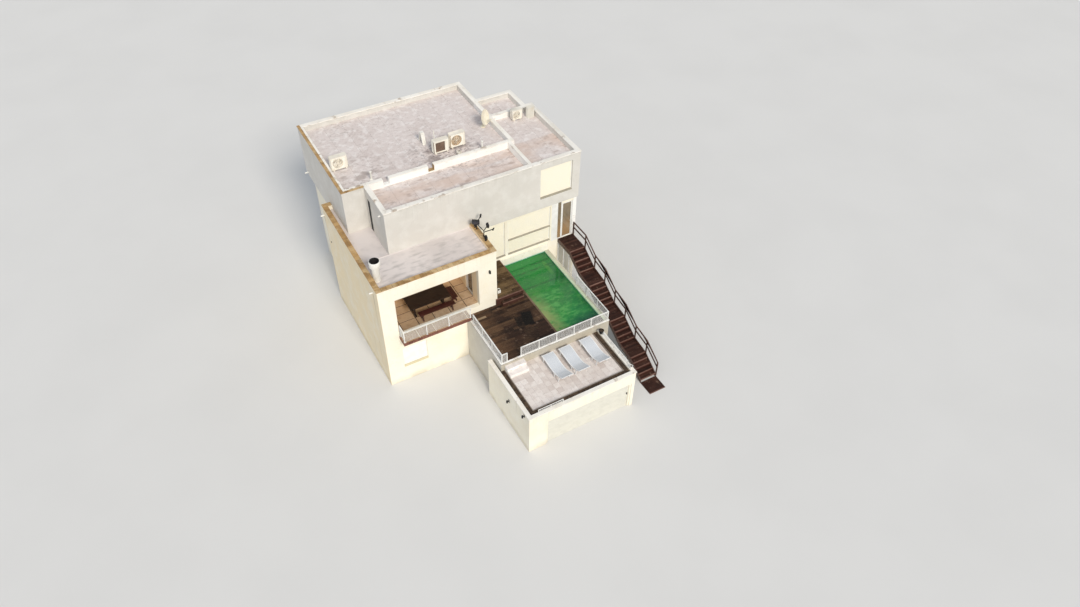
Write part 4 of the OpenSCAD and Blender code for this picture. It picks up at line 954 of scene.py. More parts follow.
# The roughness of satin and of matt paint, between its smoothest and its roughest spots
SATIN, MATT = (0.35, 0.5), (0.5, 0.7)
MAKERS = {
    "cream_wing": (
        cement_render, "cream_render_wing", "render", "EDE2C8", "FBF6EA", "BCAC8E",
        L["wing_top"] - COPING, True,
        [(L["wing_front"] + 0.60, 0.09, 6.33, 3.2, "97866B"),
         (L["wing_back"] - 0.12, 0.09, 6.18, 3.4, "97866B"),
         (L["wing_front"] + 0.95, 0.05, 2.6, 0.4, "B6A27E"),
         (L["wing_front"] + 1.75, 0.04, 2.2, 0.5, "B6A27E")],
        # The wing's left face is washed warm tan: painted warm light grazing that face.
        [("X", L["wing_left"] + 0.02, L["wing_left"], 0.75, "F4DFB4")]),
    "cream_garage": (
        cement_render, "cream_render_garage", "render", "EEE3CA", "FBF7EC", "B8A88A",
        L["garage_top"] - COPING, True, [(L["garage_front"] + 1.3, 0.03, 2.5, 1.5, "8F7F68")]),
    "cream_facade": (
        cement_render, "cream_render_facade", "F7F1DF", "EFE6CF", "FBF8EE", "CDBFA2", L["storey"], False),
    # Inside the loggia the cream render is painted tan and lightened: painted warm bounced light in the
    # loggia's shade.
    "tan_loggia": (
        cement_render, "tan_render_loggia", "FFEAC6", "F6DDB4", "FFF0D6", "DDBF96", L["storey"] - 0.2, False),
    "light_upper": (
        cement_render, "grey_white_render_upper", "upper", "CFCCC4", "E9E7E1", "A5A298",
        L["top"] - COPING, True,
        [(L["back"] - 0.38, 0.08, 6.33, 3.5, "8E8A80"), (L["upper_front"] + 0.52, 0.06, 8.7, 7.4, "9A958A")],
        [("Z", L["storey"] + 0.004, L["storey"] - 0.004, 1.0, "F3ECD8")]),
    "grey_deck_wall": (
        cement_render, "grey_render_deck", "CFCBC1", "C0BCB2", "DAD7CE", "8E897E",
        L["deck"] - 0.04, True, (),
        # The front face of the deck's wall is washed darker: painted shade.
        [("Y", L["deck_front"] + 0.03, L["deck_front"] + 0.01, 0.7, "B5AB94")]),
    "white_stone": (painted_stone, "white_masonry_paint", "F3EFE6", "E2DACB", "9A8268"),
    "rim_stone": (
        painted_stone, "wet_pool_rim_paint", "C6C2AE", "B7B39D", "8C8570",
        [("X", L["pool_right"] + 0.16, L["pool_right"] + 0.07, 0.9, "BFD3B1")]),
    "white_parapet": (painted_stone, "white_parapet_paint", "F6F4EF", "ECE9E2", "C9BCAC"),
    "mortar": (plain_mineral, "brown_joint_mortar", "54432F", "44361F", "75644C"),
    "ochre": (ochre_tile,),
    "membrane": (roof_membrane,),
    "screed": (roof_screed,),
    "deck": (
        deck_board, "weathered_deck_board", "deck", "20150F", "5F4834",
        # Lighter towards the deck's left end: a painted pool of sunlight.
        [("X", L["deck_left"] + 1.3, L["deck_left"] + 0.2, 0.8, "7C5B40")],
        # Near-black turned patches on the lower deck: painted shadows of things standing in front of it.
        [((0.98, -3.94), -15.0, (0.27, 0.47), 0.95, "090808"),
         ((0.56, -3.98), -8.0, (0.26, 0.37), 0.75, "0E0C0B"),
         ((0.70, -4.95), -14.0, (0.30, 0.42), 0.35, "15110F")]),
    "deck_edge": (deck_board, "worn_deck_edge_board", "63513F", "483A2D", "857460"),
    "deck_upper": (deck_board, "sunlit_deck_board", "4F3C26", "2F2216", "826A4A"),
    "deck_pale_board": (deck_board, "bleached_deck_board", "9F8A70", "7E6A52", "B8A388"),
    "nosing": (deck_board, "worn_nosing_board", "725449", "563B31", "907165"),
    "tread": (deck_board, "dark_stair_tread", "3A221A", "22130E", "52362C"),
    "riser": (stained_wood, "red_brown_riser_board", "441F16", "2A110B", MATT),
    # Near-black under the boards: painted shade in the gaps between them.
    "under_deck": (plain_mineral, "dark_deck_bearer", "1E1814", "15110E", "2C241E"),
    "white_steel": (painted_steel, "white_enamelled_steel", "steel", 0.8, (0.3, 0.45)),
    "white_metal": (painted_steel, "white_coated_sheet", "ECEAE2", 0.35, SATIN, "D8D3C4"),
    "casing": (painted_steel, "cream_air_unit_casing", "EAE4D6", 0.3, (0.35, 0.55), "D9CFBB"),
    "dark_well": (painted_steel, "brown_fan_well", "7C6555", 0.0, MATT, "9A8371"),
    "tan_well": (painted_steel, "tan_fan_well", "D2B48A", 0.0, MATT, "BD9D74"),
    "pale_well": (painted_steel, "pale_fan_well", "F5EFE2", 0.0, MATT, "E6DDCB"),
    "tan_fan": (moulded_plastic, "tan_fan_blade", "E0C9A4", "CDB389"),
    "pale_fan": (moulded_plastic, "cream_fan_blade", "F7F1E6", "E8E0D0"),
    "brown_steel": (painted_steel, "brown_enamelled_steel", "4A3026", 0.5, (0.4, 0.55), "6B4E42"),
    "black_metal": (painted_steel, "black_powder_coat", "1B1B1D", 0.0, (0.4, 0.55), "2E2E30"),
    "aluminium": (painted_steel, "white_lacquered_aluminium", "F1F0EC", 0.0, (0.25, 0.4), "DDDCD6"),
    "shutter": (painted_steel, "cream_lacquered_shutter", "shutters", 0.0, SATIN, "F0ECDD"),
    "white_shutter": (painted_steel, "white_lacquered_shutter", "F6F5F0", 0.0, SATIN, "EAE9E2"),
    "garage_door": (painted_steel, "white_sectional_door", "DCDACE", 0.0, SATIN, "CFCDC1"),
    "dish": (painted_steel, "cream_enamelled_dish", "E9E2CE", 0.9, SATIN, "D6CBB0"),
    "steel": (painted_steel, "galvanised_screw", "9C9D9E", 0.2, SATIN, "7E7F80"),
    "soot": (plain_mineral, "flue_soot", "141312", "1E1C1A", "0C0B0B"),
    "glass": (window_pane, "float_glass_pane", "C9C6B8", "A39C8A"),
    "entrance_glass": (
        window_pane, "tinted_entrance_glass", "8C7D66", "A89879", 0.25,
        [("Z", L["living"] + 1.5, L["living"] + 0.6, 0.7, "C79E70")]),
    # The slot window's pane is near-black and opaque, with a black sheet in its opening: painted shade for
    # the dark room beyond.
    "dark_glass": (window_pane, "smoked_glass_pane", "20262A", "2C3236", 0.0),
    "fly_screen": (painted_steel, "black_fly_screen", "131416", 0.0, (0.6, 0.8), "202225"),
    "lens": (lamp_lens,),
    "water": (pool_water_look,),
    "basin": (basin_tile,),
    "loggia": (laid_tile, "tan_stone_slab", "slabs", "A5835F", "CFB596", "84684C"),
    "grout": (plain_mineral, "dark_slab_joint", "302218", "241911", "403024"),
    "indoor": (laid_tile, "brown_indoor_tile", "9B7A5C", "86664A", "AD8E70", "6E543D", (0.3, 0.5)),
    "terrace": (laid_tile, "pale_terrace_tile", "E0D7D0", "CBBEB6", "ECE5DF", "AA9C92"),
    "terrace_joint": (plain_mineral, "pale_terrace_joint", "8E8378", "7C7268", "A59A8E"),
    "brick": (laid_tile, "red_clay_edge_tile", "7D4E3F", "5E3528", "956350", "4A2B1E"),
    # Grey sills, darkened as painted shade: the shadowed line under the windows.
    "sill": (plain_mineral, "grey_stone_sill", "A39D8D", "948E7F", "7B7567"),
    "pale_sill": (plain_mineral, "cream_cast_sill", "DCD2B2", "CFC4A2", "B7AA86"),
    "plastic": (moulded_plastic, "white_lounger_plastic", "F0F1F0", "DADCDC"),
    "sling": (woven_sling,),
    "table": (stained_wood, "black_brown_table_wood", "2A1B14", "170E0A"),
    "bench": (stained_wood, "red_brown_bench_wood", "46211A", "28100B"),
    "soil": (garden_soil,),
    "black_pot": (painted_steel, "black_glazed_clay", "16181A", 0.0, (0.15, 0.3), "2A2C2E"),
    "white_pot": (painted_stone, "white_glazed_clay", "EDECE6", "DAD8D0", "A79B8B"),
    "floor": (pale_floor,),
}
MADE = {}


def look(name):
    """The material of that name, made the first time a piece asks for it."""
    if name not in MADE:
        maker, *about = MAKERS[name]
        MADE[name] = maker(*about)
    return MADE[name]



# Walls

def facing(axis, sign, low=-99.0, high=99.0):
    """A test for faces that look along an axis and whose middle lies between two heights."""
    i = "XYZ".index(axis)
    return lambda f: f.normal[i] * sign > 0.9 and low < f.calc_center_median().z < high


def lowered(height, drop):
    """A change that lowers a copy's points at a height, to make room for what is laid there."""
    def change(bm):
        for v in bm.verts:
            if abs(v.co.z - height) < NEAR:
                v.co.z -= drop
    return change


class BEACHHOUSE_OT_walls(bpy.types.Operator):
    """Renders the walls of the wing, the garage, the decks and the upper storey, and sets a wall vent."""
    bl_idname = "beach_house.walls"
    bl_label = "Walls"

    def execute(self, context):
        # The loggia's inner faces take the render painted tan as warm bounced light.
        inside = facing("Y", 1, L["living"] - 0.5, L["storey"] + 0.3)
        walls = {
            "wing_front_wall": ("cream_wing tan_loggia", inside),
            "wing_left_wall": ("cream_wing tan_loggia", facing("X", 1)),
            "wing_right_wall": ("cream_facade tan_loggia", facing("X", -1)),
            "loggia_back_wall": ("tan_loggia cream_facade", facing("Y", 1)),
            "rear_left_wall": ("cream_wing", None),
            "garage_front_wall": ("cream_garage", None),
            "garage_side_walls": ("cream_garage", None),
            "retaining_walls": ("grey_deck_wall", None),
            "balcony_slab": ("cream_facade", None),
            "living_front_wall": ("cream_facade", None),
            "lower_front_wall": ("cream_facade", None),
            "entrance_header": ("cream_facade", None),
            "corner_column": ("white_parapet", None),
            "upper_floor_slab": ("light_upper cream_facade", facing("Z", -1)),
            "upper_front_wall": ("light_upper", None),
            "upper_left_wall": ("light_upper", None),
            "upper_slot_wall": ("light_upper", None),
            "right_wall": ("light_upper", None),
            "back_wall": ("light_upper", None),
        }
        for node, (looks, test) in walls.items():
            change = lowered(L["living"], SLAB) if node == "balcony_slab" else None
            softened(node, looks, 0.006, choose=test, change=change)
        vent = Vector((L["wing_left"] + 0.001, L["wing_back"] - 0.50, 4.62))
        profile = [(0.001, 0.0), (0.045, 0.0), (0.05, 0.006), (0.05, 0.012), (0.036, 0.018),
                   (0.034, 0.010), (0.001, 0.010)]
        shaped("wall_vent", lambda bm: lathe(bm, profile, vent, "X", 20), "black_metal")
        return {"FINISHED"}


# Roofs and copings

class BEACHHOUSE_OT_roofs(bpy.types.Operator):
    """Lays the roofing, sheet by sheet, and finishes the upstands and the wing's screed."""
    bl_idname = "beach_house.roofs"
    bl_label = "Roofs"

    def execute(self, context):
        thick, quads, tops = 0.004, [], set()
        for low, high in solids("roof_slabs"):
            right = min(high.x, L["main_right"] - WALL) if low.x < 0 else high.x
            count = max(1, round((right - low.x) / sizes().roof_sheet))
            quads += line(low.x, right, low.y, high.y, high.z - thick, count, 0.004)
            tops.add(round(high.z, 3))

        def sink(bm):
            for v in bm.verts:
                if round(v.co.z, 3) in tops:
                    v.co.z -= thick
        softened("roof_slabs", "mortar", 0.0, change=sink)
        laid("roofing_sheets", quads, thick, "membrane", 0.0, 0.0015, 11)

        def rusty(f):
            c = f.calc_center_median()
            return -1.19 < c.x < -0.82 and abs(c.y - L["main_front"] - 0.12) < 0.2
        softened("roof_upstands", "white_parapet ochre", 0.012, choose=rusty)
        softened("wing_roof", "screed")
        shaped("wing_roof_fillets", self.fillets, "screed")
        return {"FINISHED"}

    def fillets(self, bm):
        """The mortar fillets where the wing's roof meets its upstands and the upper wall."""
        x0, x1 = L["wing_left"] + WALL, L["wing_right"] - WALL
        y0, y1 = L["wing_front"] + WALL, L["upper_front"]
        section = [(0.0, 0.0), (0.05, 0.0), (0.0225, 0.006), (0.006, 0.0225), (0.0, 0.05)]
        for a, b, turn in (
                ((x0, y0), (x1, y0), (0, 1)), ((x0, y1), (x1, y1), (0, -1)),
                ((x0, y0), (x0, y1), (1, 0)), ((x1, y0), (x1, y1), (-1, 0))):
            loft(bm, [[(x + turn[0] * d, y + turn[1] * d, L["wing_roof"] + h) for d, h in section]
                      for x, y in (a, b)])


def ochre_runs():
    """The runs of ochre tiles: their rectangle, the height of their underside and their direction."""
    wl, wr, wf, wb = L["wing_left"], L["wing_right"], L["wing_front"], L["wing_back"]
    ml, fl, mf, back = L["main_left"], L["front_left"], L["main_front"], L["back"]
    low, top = L["wing_top"] - COPING, L["top"] - COPING
    return [
        (wl - LIP, wr + LIP, wf - LIP, wf + WALL, low, "X"),
        (wr - WALL, wr + LIP, wf + WALL, L["upper_front"], low, "Y"),
        (wl - LIP, wl + WALL, wf + WALL, wb - WALL, low, "Y"),
        (wl - LIP, ml, wb - WALL, wb + LIP, low, "X"),
        (ml - LIP, ml + 0.13, mf + 0.10, back + LIP, top, "Y"),
        (ml - LIP, fl, mf - LIP, mf + 0.10, top, "X"),
    ]


class BEACHHOUSE_OT_copings(bpy.types.Operator):
    """Beds the ochre clay tiles in mortar along the parapets and lays the white stones beside them."""
    bl_idname = "beach_house.copings"
    bl_label = "Copings"

    def execute(self, context):
        s, quads, chance = sizes(), [], random.Random(7)
        for x0, x1, y0, y1, z, way in ochre_runs():
            count = max(1, round((x1 - x0 if way == "X" else y1 - y0) / s.coping_tile))
            for (a, low, _), _, (b, high, _), _ in line(x0, x1, y0, y1, z, count, s.joint, way):
                nudge = chance.uniform(-0.003, 0.003)
                if way == "X":
                    quads.append(rect(a, b, low + max(0, nudge), high + min(0, nudge), z))
                else:
                    quads.append(rect(a + max(0, nudge), b + min(0, nudge), low, high, z))
        laid("ochre_coping_tiles", quads, COPING, "ochre", 0.004, 0.005, 5, ("ochre_copings",))

        def bed(bm):
            for x0, x1, y0, y1, z, _ in ochre_runs():
                cuboid(bm, x0 + 0.008, x1 - 0.008, y0 + 0.008, y1 - 0.008, z + 0.001, z + 0.033)
        shaped("ochre_coping_mortar", bed, "mortar")
        softened("white_copings", "white_stone", 0.008)
        left, front, z = L["main_left"], L["main_front"] + 0.104, L["top"] - COPING
        inner = line(left + 0.134, left + WALL, front, L["back"] + LIP, z, 7, 0.004, "Y")
        inner.append(rect(left + WALL + 0.004, L["front_left"], front, L["main_front"] + WALL, z))
        laid("main_coping_inner_stones", inner, COPING, "white_stone", 0.001, 0.005, 15)
        return {"FINISHED"}


# Decks, stair and railings

class BEACHHOUSE_OT_decks(bpy.types.Operator):
    """Lays the boards of the lower and the upper deck and of the step between them."""
    bl_idname = "beach_house.decks"
    bl_label = "Decks"
    # The boards' thickness, that of the planks beside the water, how far the upper deck ends
    # short of the pool, and how far its step lies below it
    thick = 0.026
    plank = 0.04
    short = 0.24
    step_down = 0.205

    def execute(self, context):
        s, thick, chance = sizes(), self.thick, random.Random(21)
        under = L["deck"] - thick
        x0, x1 = L["deck_left"], L["pool_left"]
        y0, y1, y2 = L["deck_front"], L["pool_front"], L["wing_front"]
        board = (s.deck_board, s.deck_gap, s.deck_board_length, chance)
        side, lip, beside, joint = 0.13, 0.10, 0.10, 0.004
        quads = boards(x0 + side, x1 - 2 * beside, y0 + lip, y1, under, *board)
        quads += boards(x0 + side, x1 - beside - s.deck_gap, y1 + s.deck_gap, y2, under, *board)
        caps = line(x0, x0 + side - 0.005, y0, y2, under, 4, joint, "Y")
        caps += line(x0 + side, corner("pool_rim")[1].x, y0, y0 + lip - 0.005, under, 7, joint)
        laid("deck_edge_stones", caps, thick, "white_parapet", 0.001, seed=12)
        along = line(x1 - beside, x1, y1 + s.deck_gap, y2, under, 3, s.deck_gap, "Y")
        laid("pool_edge_board", along, thick, "deck_edge", 0.001, seed=16)
        # One length of board, near the wing's front, is laid paler than the rest.
        pale_board = [self.nearest(quads, -1.38, y2 - 0.56)]
        laid("lower_deck_boards", quads, thick, "deck", 0.002, seed=3)
        laid("bleached_deck_board", pale_board, thick, "deck_pale_board", seed=3)
        # The deck's lowered top is near-black: painted shade seen in the gaps between the boards.
        softened("lower_deck", "under_deck", 0.0, change=lowered(L["deck"], thick + 0.004))
        self.upper(board)
        return {"FINISHED"}

    def upper(self, board):
        """The upper deck with its step, and the ledge between it and the pool."""
        thick, up, front, facade = self.thick, L["living"], L["wing_front"], L["facade"]
        left, pool = L["wing_right"], L["pool_left"] - self.short
        quads = boards(left, pool - 0.045, front + sizes().deck_gap, facade, up - thick, *board)
        laid("upper_deck_boards", quads, thick, "deck_upper", 0.002, seed=4)
        # The upper deck's lowered top is near-black: painted shade seen in the gaps between the boards.
        softened("upper_deck", "tread under_deck", choose=facing("Z", 1, up - 0.05, up),
                 change=self.make_room)
        row, gap, ledge = (facade - front) / 2, 0.005, []
        for i in range(2):
            ledge += line(pool, pool + self.short, front + i * row, front + (i + 1) * row - gap,
                          L["deck"] - self.plank, 2, gap)
        laid("pool_ledge_boards", ledge, self.plank, "deck_edge", seed=19)
        end = (pool, L["pool_left"], L["pool_back"], facade, L["deck"] + 0.001, up)
        shaped("pool_rear_wall_end", lambda bm: cuboid(bm, *end), "cream_facade")
        x0, x1, z = left + 0.18, pool - 0.10, up - self.step_down - 0.02
        edge = [rect(corner("upper_deck")[0].x, pool, front - 0.07, front, up - thick),
                rect(pool - 0.04, pool, front + 0.005, facade, up - thick),
                rect(x0, x1, front - 0.33, front - 0.275, z)]
        laid("deck_nosing_boards", edge, thick, "nosing", seed=6)
        width, gap, longest, chance = 0.095, 0.006, 2.0, board[3]
        step = boards(x0, x1, front - 0.27, front - 0.072, z, width, gap, longest, chance)
        laid("deck_step_boards", step, thick, "deck", 0.001, seed=8)

    def nearest(self, quads, x, y):
        """Takes the board nearest to a place off the list, and gives a length of it; the rest goes back."""
        length, cut, scrap = 0.5, 0.006, 0.05

        def far(q):
            return abs((q[0][0] + q[2][0]) / 2 - x) + 3 * abs((q[0][1] + q[2][1]) / 2 - y)
        quad = min(quads, key=far)
        quads.remove(quad)
        (a, low, z), _, (b, high, _), _ = quad
        start = min(max(x, a), b - length)
        if start - a > scrap:
            quads.append(rect(a, start - cut, low, high, z))
        if b - start - length > scrap:
            quads.append(rect(start + length + cut, b, low, high, z))
        return rect(start, start + length, low, high, z)

    def make_room(self, bm):
        """Lowers the upper deck's core and its step under their boards, and ends them short of the pool."""
        up = L["living"]
        step = up - self.step_down
        for v in bm.verts:
            if v.co.x > L["pool_left"] - 0.15:
                v.co.x -= self.short
            if abs(v.co.z - up) < NEAR:
                v.co.z -= self.thick + 0.003
            elif abs(v.co.z - step) < 0.02 and v.co.y < L["wing_front"] - 0.07:
                v.co.z = step - 0.022


class BEACHHOUSE_OT_stair(bpy.types.Operator):
    """Builds the outdoor stair's treads from boards, each with a pale nosing, and its steelwork."""
    bl_idname = "beach_house.stair"
    bl_label = "Stair"

    def execute(self, context):
        nose, width, gap, longest, chance = 0.055, 0.118, 0.006, 3.0, random.Random(5)
        noses, treads = [], []
        for low, high in solids("stair_treads"):
            thick = high.z - low.z
            noses.append((rect(low.x, high.x, low.y, low.y + nose, low.z), thick))
            treads += [(q, thick) for q in boards(
                low.x, high.x, low.y + nose + gap, high.y, low.z, width, gap, longest, chance)]
        for title, parts, finish, seed, nodes in (
                ("stair_nosings", noses, "nosing", 2, ()),
                ("stair_tread_boards", treads, "tread", 9, ("stair_treads",))):
            thin = [q for q, t in parts if t < 0.04]
            thick = [q for q, t in parts if t >= 0.04]
            laid(title, thick, 0.045, finish, 0.001, seed=seed, replaces=nodes)
            if thin:
                laid(title + "_foot", thin, 0.03, finish, 0.001, seed=seed + 20)
        softened("stair_risers", "riser", 0.003)
        softened("stair_frame", "brown_steel")
        softened("stair_handrail", "brown_steel", 0.006, segments=3)
        softened("landing_posts", "white_steel", 0.005)
        return {"FINISHED"}


def plate_corners(node):
    """Four points on the top of each foot plate of a railing, where its screws sit."""
    inset, plate = 0.014, 0.010
    bm = merged(node)
    lowest = min(v.co.z for v in bm.verts)
    points = []
    for f in bm.faces:
        if f.normal.z > 0.9 and abs(f.calc_center_median().z - lowest - plate) < NEAR:
            xs, ys = [v.co.x for v in f.verts], [v.co.y for v in f.verts]
            x0, x1, y0, y1 = min(xs), max(xs), min(ys), max(ys)
            if x1 - x0 > 0.05 and y1 - y0 > 0.05:
                points += [(x, y, lowest + plate + 0.001)
                           for x in (x0 + inset, x1 - inset) for y in (y0 + inset, y1 - inset)]
    bm.free()
    return points


class BEACHHOUSE_OT_railings(bpy.types.Operator):
    """Enamels the railings of the decks, the balcony and the terrace, and screws them down."""
    bl_idname = "beach_house.railings"
    bl_label = "Railings"

    def execute(self, context):
        for node in ("deck_railings", "balcony_railing", "terrace_rails"):
            softened(node, "white_steel", 0.003)
        for node in ("deck_railings", "balcony_railing"):
            points = plate_corners(node)
            if points:
                screwed(node + "_screws", points, 0.007, 0.005)
        return {"FINISHED"}


# Pool

class BEACHHOUSE_OT_pool(bpy.types.Operator):
    """Tiles the pool's basin, lays its rim and fills it with still green water."""
    bl_idname = "beach_house.pool"
    bl_label = "Pool"

    def execute(self, context):
        s, z, thick = sizes(), L["deck"], 0.04
        x0, x1, y0, y1 = L["pool_left"], L["pool_right"], L["pool_front"], L["pool_back"]

        def inside(f):
            c = f.calc_center_median()
            return x0 - 0.01 < c.x < x1 + 0.01 and y0 - 0.01 < c.y < y1 + 0.01 and c.z > 1.4
        softened("pool_shell", "cream_facade basin", choose=inside)
        front, edge = L["deck_front"] + 0.10, corner("pool_rim")[1].x
        rim = tiles(x1, edge, front, y1, z - thick, 1.0, edge - x1, 0.004)
        along = boards(x0 - 0.20 + s.deck_gap, x1 - 0.004, front, y0, z - thick, s.deck_board, s.deck_gap,
                       s.deck_board_length, random.Random(4))
        laid("pool_front_boards", along, thick, "deck", 0.002, seed=13)
        laid("pool_rim_stones", rim, thick, "rim_stone", 0.002, 0.006, 14, ("pool_rim",))
        water = grown("pool_water", "water", bpy.data.meshes.new("pool_water"), "water",
                      length=y1 - y0 + 0.004, width=x1 - x0 + 0.004, ripple=0.008, ripple_size=0.6)
        surface = Vector(((x0 + x1) / 2, (y0 + y1) / 2, z - s.water_depth))
        water.data.transform(Matrix.Translation(surface))
        smooth(water.data, 60)
        keep(water, HOUSE)

        def skimmer(bm):
            """The skimmer's mouth in the rear wall, at the waterline."""
            for a, b, c, d in ((-0.14, 0.14, 0.07, 0.085), (-0.14, 0.14, -0.03, -0.015),
                               (-0.14, -0.125, -0.015, 0.07), (0.125, 0.14, -0.015, 0.07)):
                cuboid(bm, surface.x + a, surface.x + b, y1 - 0.012, y1 + 0.001, surface.z + c, surface.z + d)
        shaped("pool_skimmer_frame", skimmer, "plastic", rounding=0.003)
        return {"FINISHED"}


# Windows, shutters and doors

class BEACHHOUSE_OT_shutters(bpy.types.Operator):
    """Rolls the shutters down, slat by slat, in their guides, and sets the stone sills."""
    bl_idname = "beach_house.shutters"
    bl_label = "Shutters and sills"

    def execute(self, context):
        softened("roller_shutters", "shutter", 0.003, change=self.recess)
        guide, names = 0.045, ("wing_window", "upper_window", "narrow_bay", "wide_panel", "wide_bay")
        for name, (low, high) in zip(names, solids("roller_shutters"), strict=True):
            x0, x1, y = low.x + guide, high.x - guide, low.y
            count = int((high.z - low.z - 0.02) / sizes().slat)
            step = (high.z - low.z - 0.004) / count
            section = [(0.016, 0.0), (0.010, 0.003), (0.006, step * 0.3), (0.006, step * 0.7),
                       (0.010, step - 0.005), (0.016, step - 0.004)]
            bm = bmesh.new()
            loft(bm, [[(x, y + d, low.z + 0.002 + h) for d, h in section] for x in (x0, x1)])
            bmesh.ops.recalc_face_normals(bm, faces=bm.faces)
            finish = "white_shutter" if name == "wing_window" else "shutter"
            obj = grown(name + "_slats", "stacking", ended(bm, name), finish, count=count, step=(0, 0, step))
            keep(obj, HOUSE)

            def guides(bm):
                for a, b in ((low.x, x0), (x1, high.x)):
                    cuboid(bm, a, b, y, y + 0.018, low.z, high.z)
            shaped(name + "_guides", guides, "aluminium", rounding=0.003)
        # Every sill but the wing's front one is darkened grey as painted shade; that one is pale.
        softened("window_sills", "sill pale_sill", 0.005,
                 choose=lambda f: f.calc_center_median().y < L["wing_front"] + 0.06)
        return {"FINISHED"}

    def recess(self, bm):
        """Sets each slab 15 mm back, so that its slats stand in front of it."""
        for group in parts_of(bm):
            points = {v for f in group for v in f.verts}
            near = min(v.co.y for v in points)
            for v in points:
                if v.co.y < near + NEAR:
                    v.co.y += 0.015


class BEACHHOUSE_OT_windows(bpy.types.Operator):
    """Fits the aluminium frames, the panes, a black sheet in the slot window as painted shade, and the
    entrance's side panel.
    """
    bl_idname = "beach_house.windows"
    bl_label = "Windows"

    def execute(self, context):
        softened("aluminium_frames", "aluminium", 0.003)
        softened("fixed_glass", "glass dark_glass entrance_glass", 0.001, choose=self.kind)
        x, (low, high) = L["front_left"], min(solids("aluminium_frames"), key=lambda pair: pair[0].x)

        # A black sheet in a frame across the slot window: painted shade for the dark room beyond.
        def dark_sheet(bm):
            field = (low.y + 0.02, high.y - 0.02, low.z + 0.02, high.z - 0.02)
            casement(bm, x + 0.002, x + 0.016, (low.y, high.y, low.z, high.z), field)
            cuboid(bm, x + 0.006, x + 0.009, *field)
        shaped("slot_window_fly_screen", dark_sheet, "fly_screen")
        low, high = min(solids("fixed_glass"), key=lambda pair: -pair[0].x)

        def panel(bm):
            for x0, x1, near in ((0.002, 0.31, 0.02), (0.311, 0.335, 0.022)):
                cuboid(bm, low.x + x0, low.x + x1, low.y - near, low.y - 0.001, low.z + 0.002, high.z - 0.002)
        shaped("entrance_side_panel", panel, "aluminium", rounding=0.002)
        return {"FINISHED"}

    def kind(self, face):
        """Clear glass in the loggia, dark glass in the slot window as painted shade, and tinted glass beside
        the entrance.
        """
        x = face.calc_center_median().x
        return 1 if x < L["front_left"] + 0.2 else 2 if x > L["wing_right"] else 0


class BEACHHOUSE_OT_entrance(bpy.types.Operator):
    """Hangs the entrance door: its leaf, its pane and the rubber gaskets around the pane."""
    bl_idname = "beach_house.entrance"
    bl_label = "Entrance door"

    def execute(self, context):
        softened("entrance_door", "aluminium", 0.002)
        softened("entrance_door_glass", "entrance_glass", 0.001)
        low, high = corner("entrance_door_glass")
        x0, x1, z0, z1 = low.x + 0.008, high.x - 0.008, low.z + 0.008, high.z - 0.008

        def gaskets(bm):
            for y in (low.y - 0.003, high.y):
                for bar in ((low.x, high.x, low.z, z0), (low.x, high.x, z1, high.z),
                            (low.x, x0, z0, z1), (x1, high.x, z0, z1)):
                    cuboid(bm, *bar[:2], y, y + 0.003, *bar[2:])
        shaped("entrance_door_gaskets", gaskets, "black_metal", LEAF)
        return {"FINISHED"}


class BEACHHOUSE_OT_garage_door(bpy.types.Operator):
    """Finishes the sectional garage door with its stamped ribs and its handle."""
    bl_idname = "beach_house.garage_door"
    bl_label = "Garage door"

    def execute(self, context):
        softened("garage_door", "garage_door")
        softened("garage_door_handle", "black_metal")
        return {"FINISHED"}


# Loggia, balcony and terrace

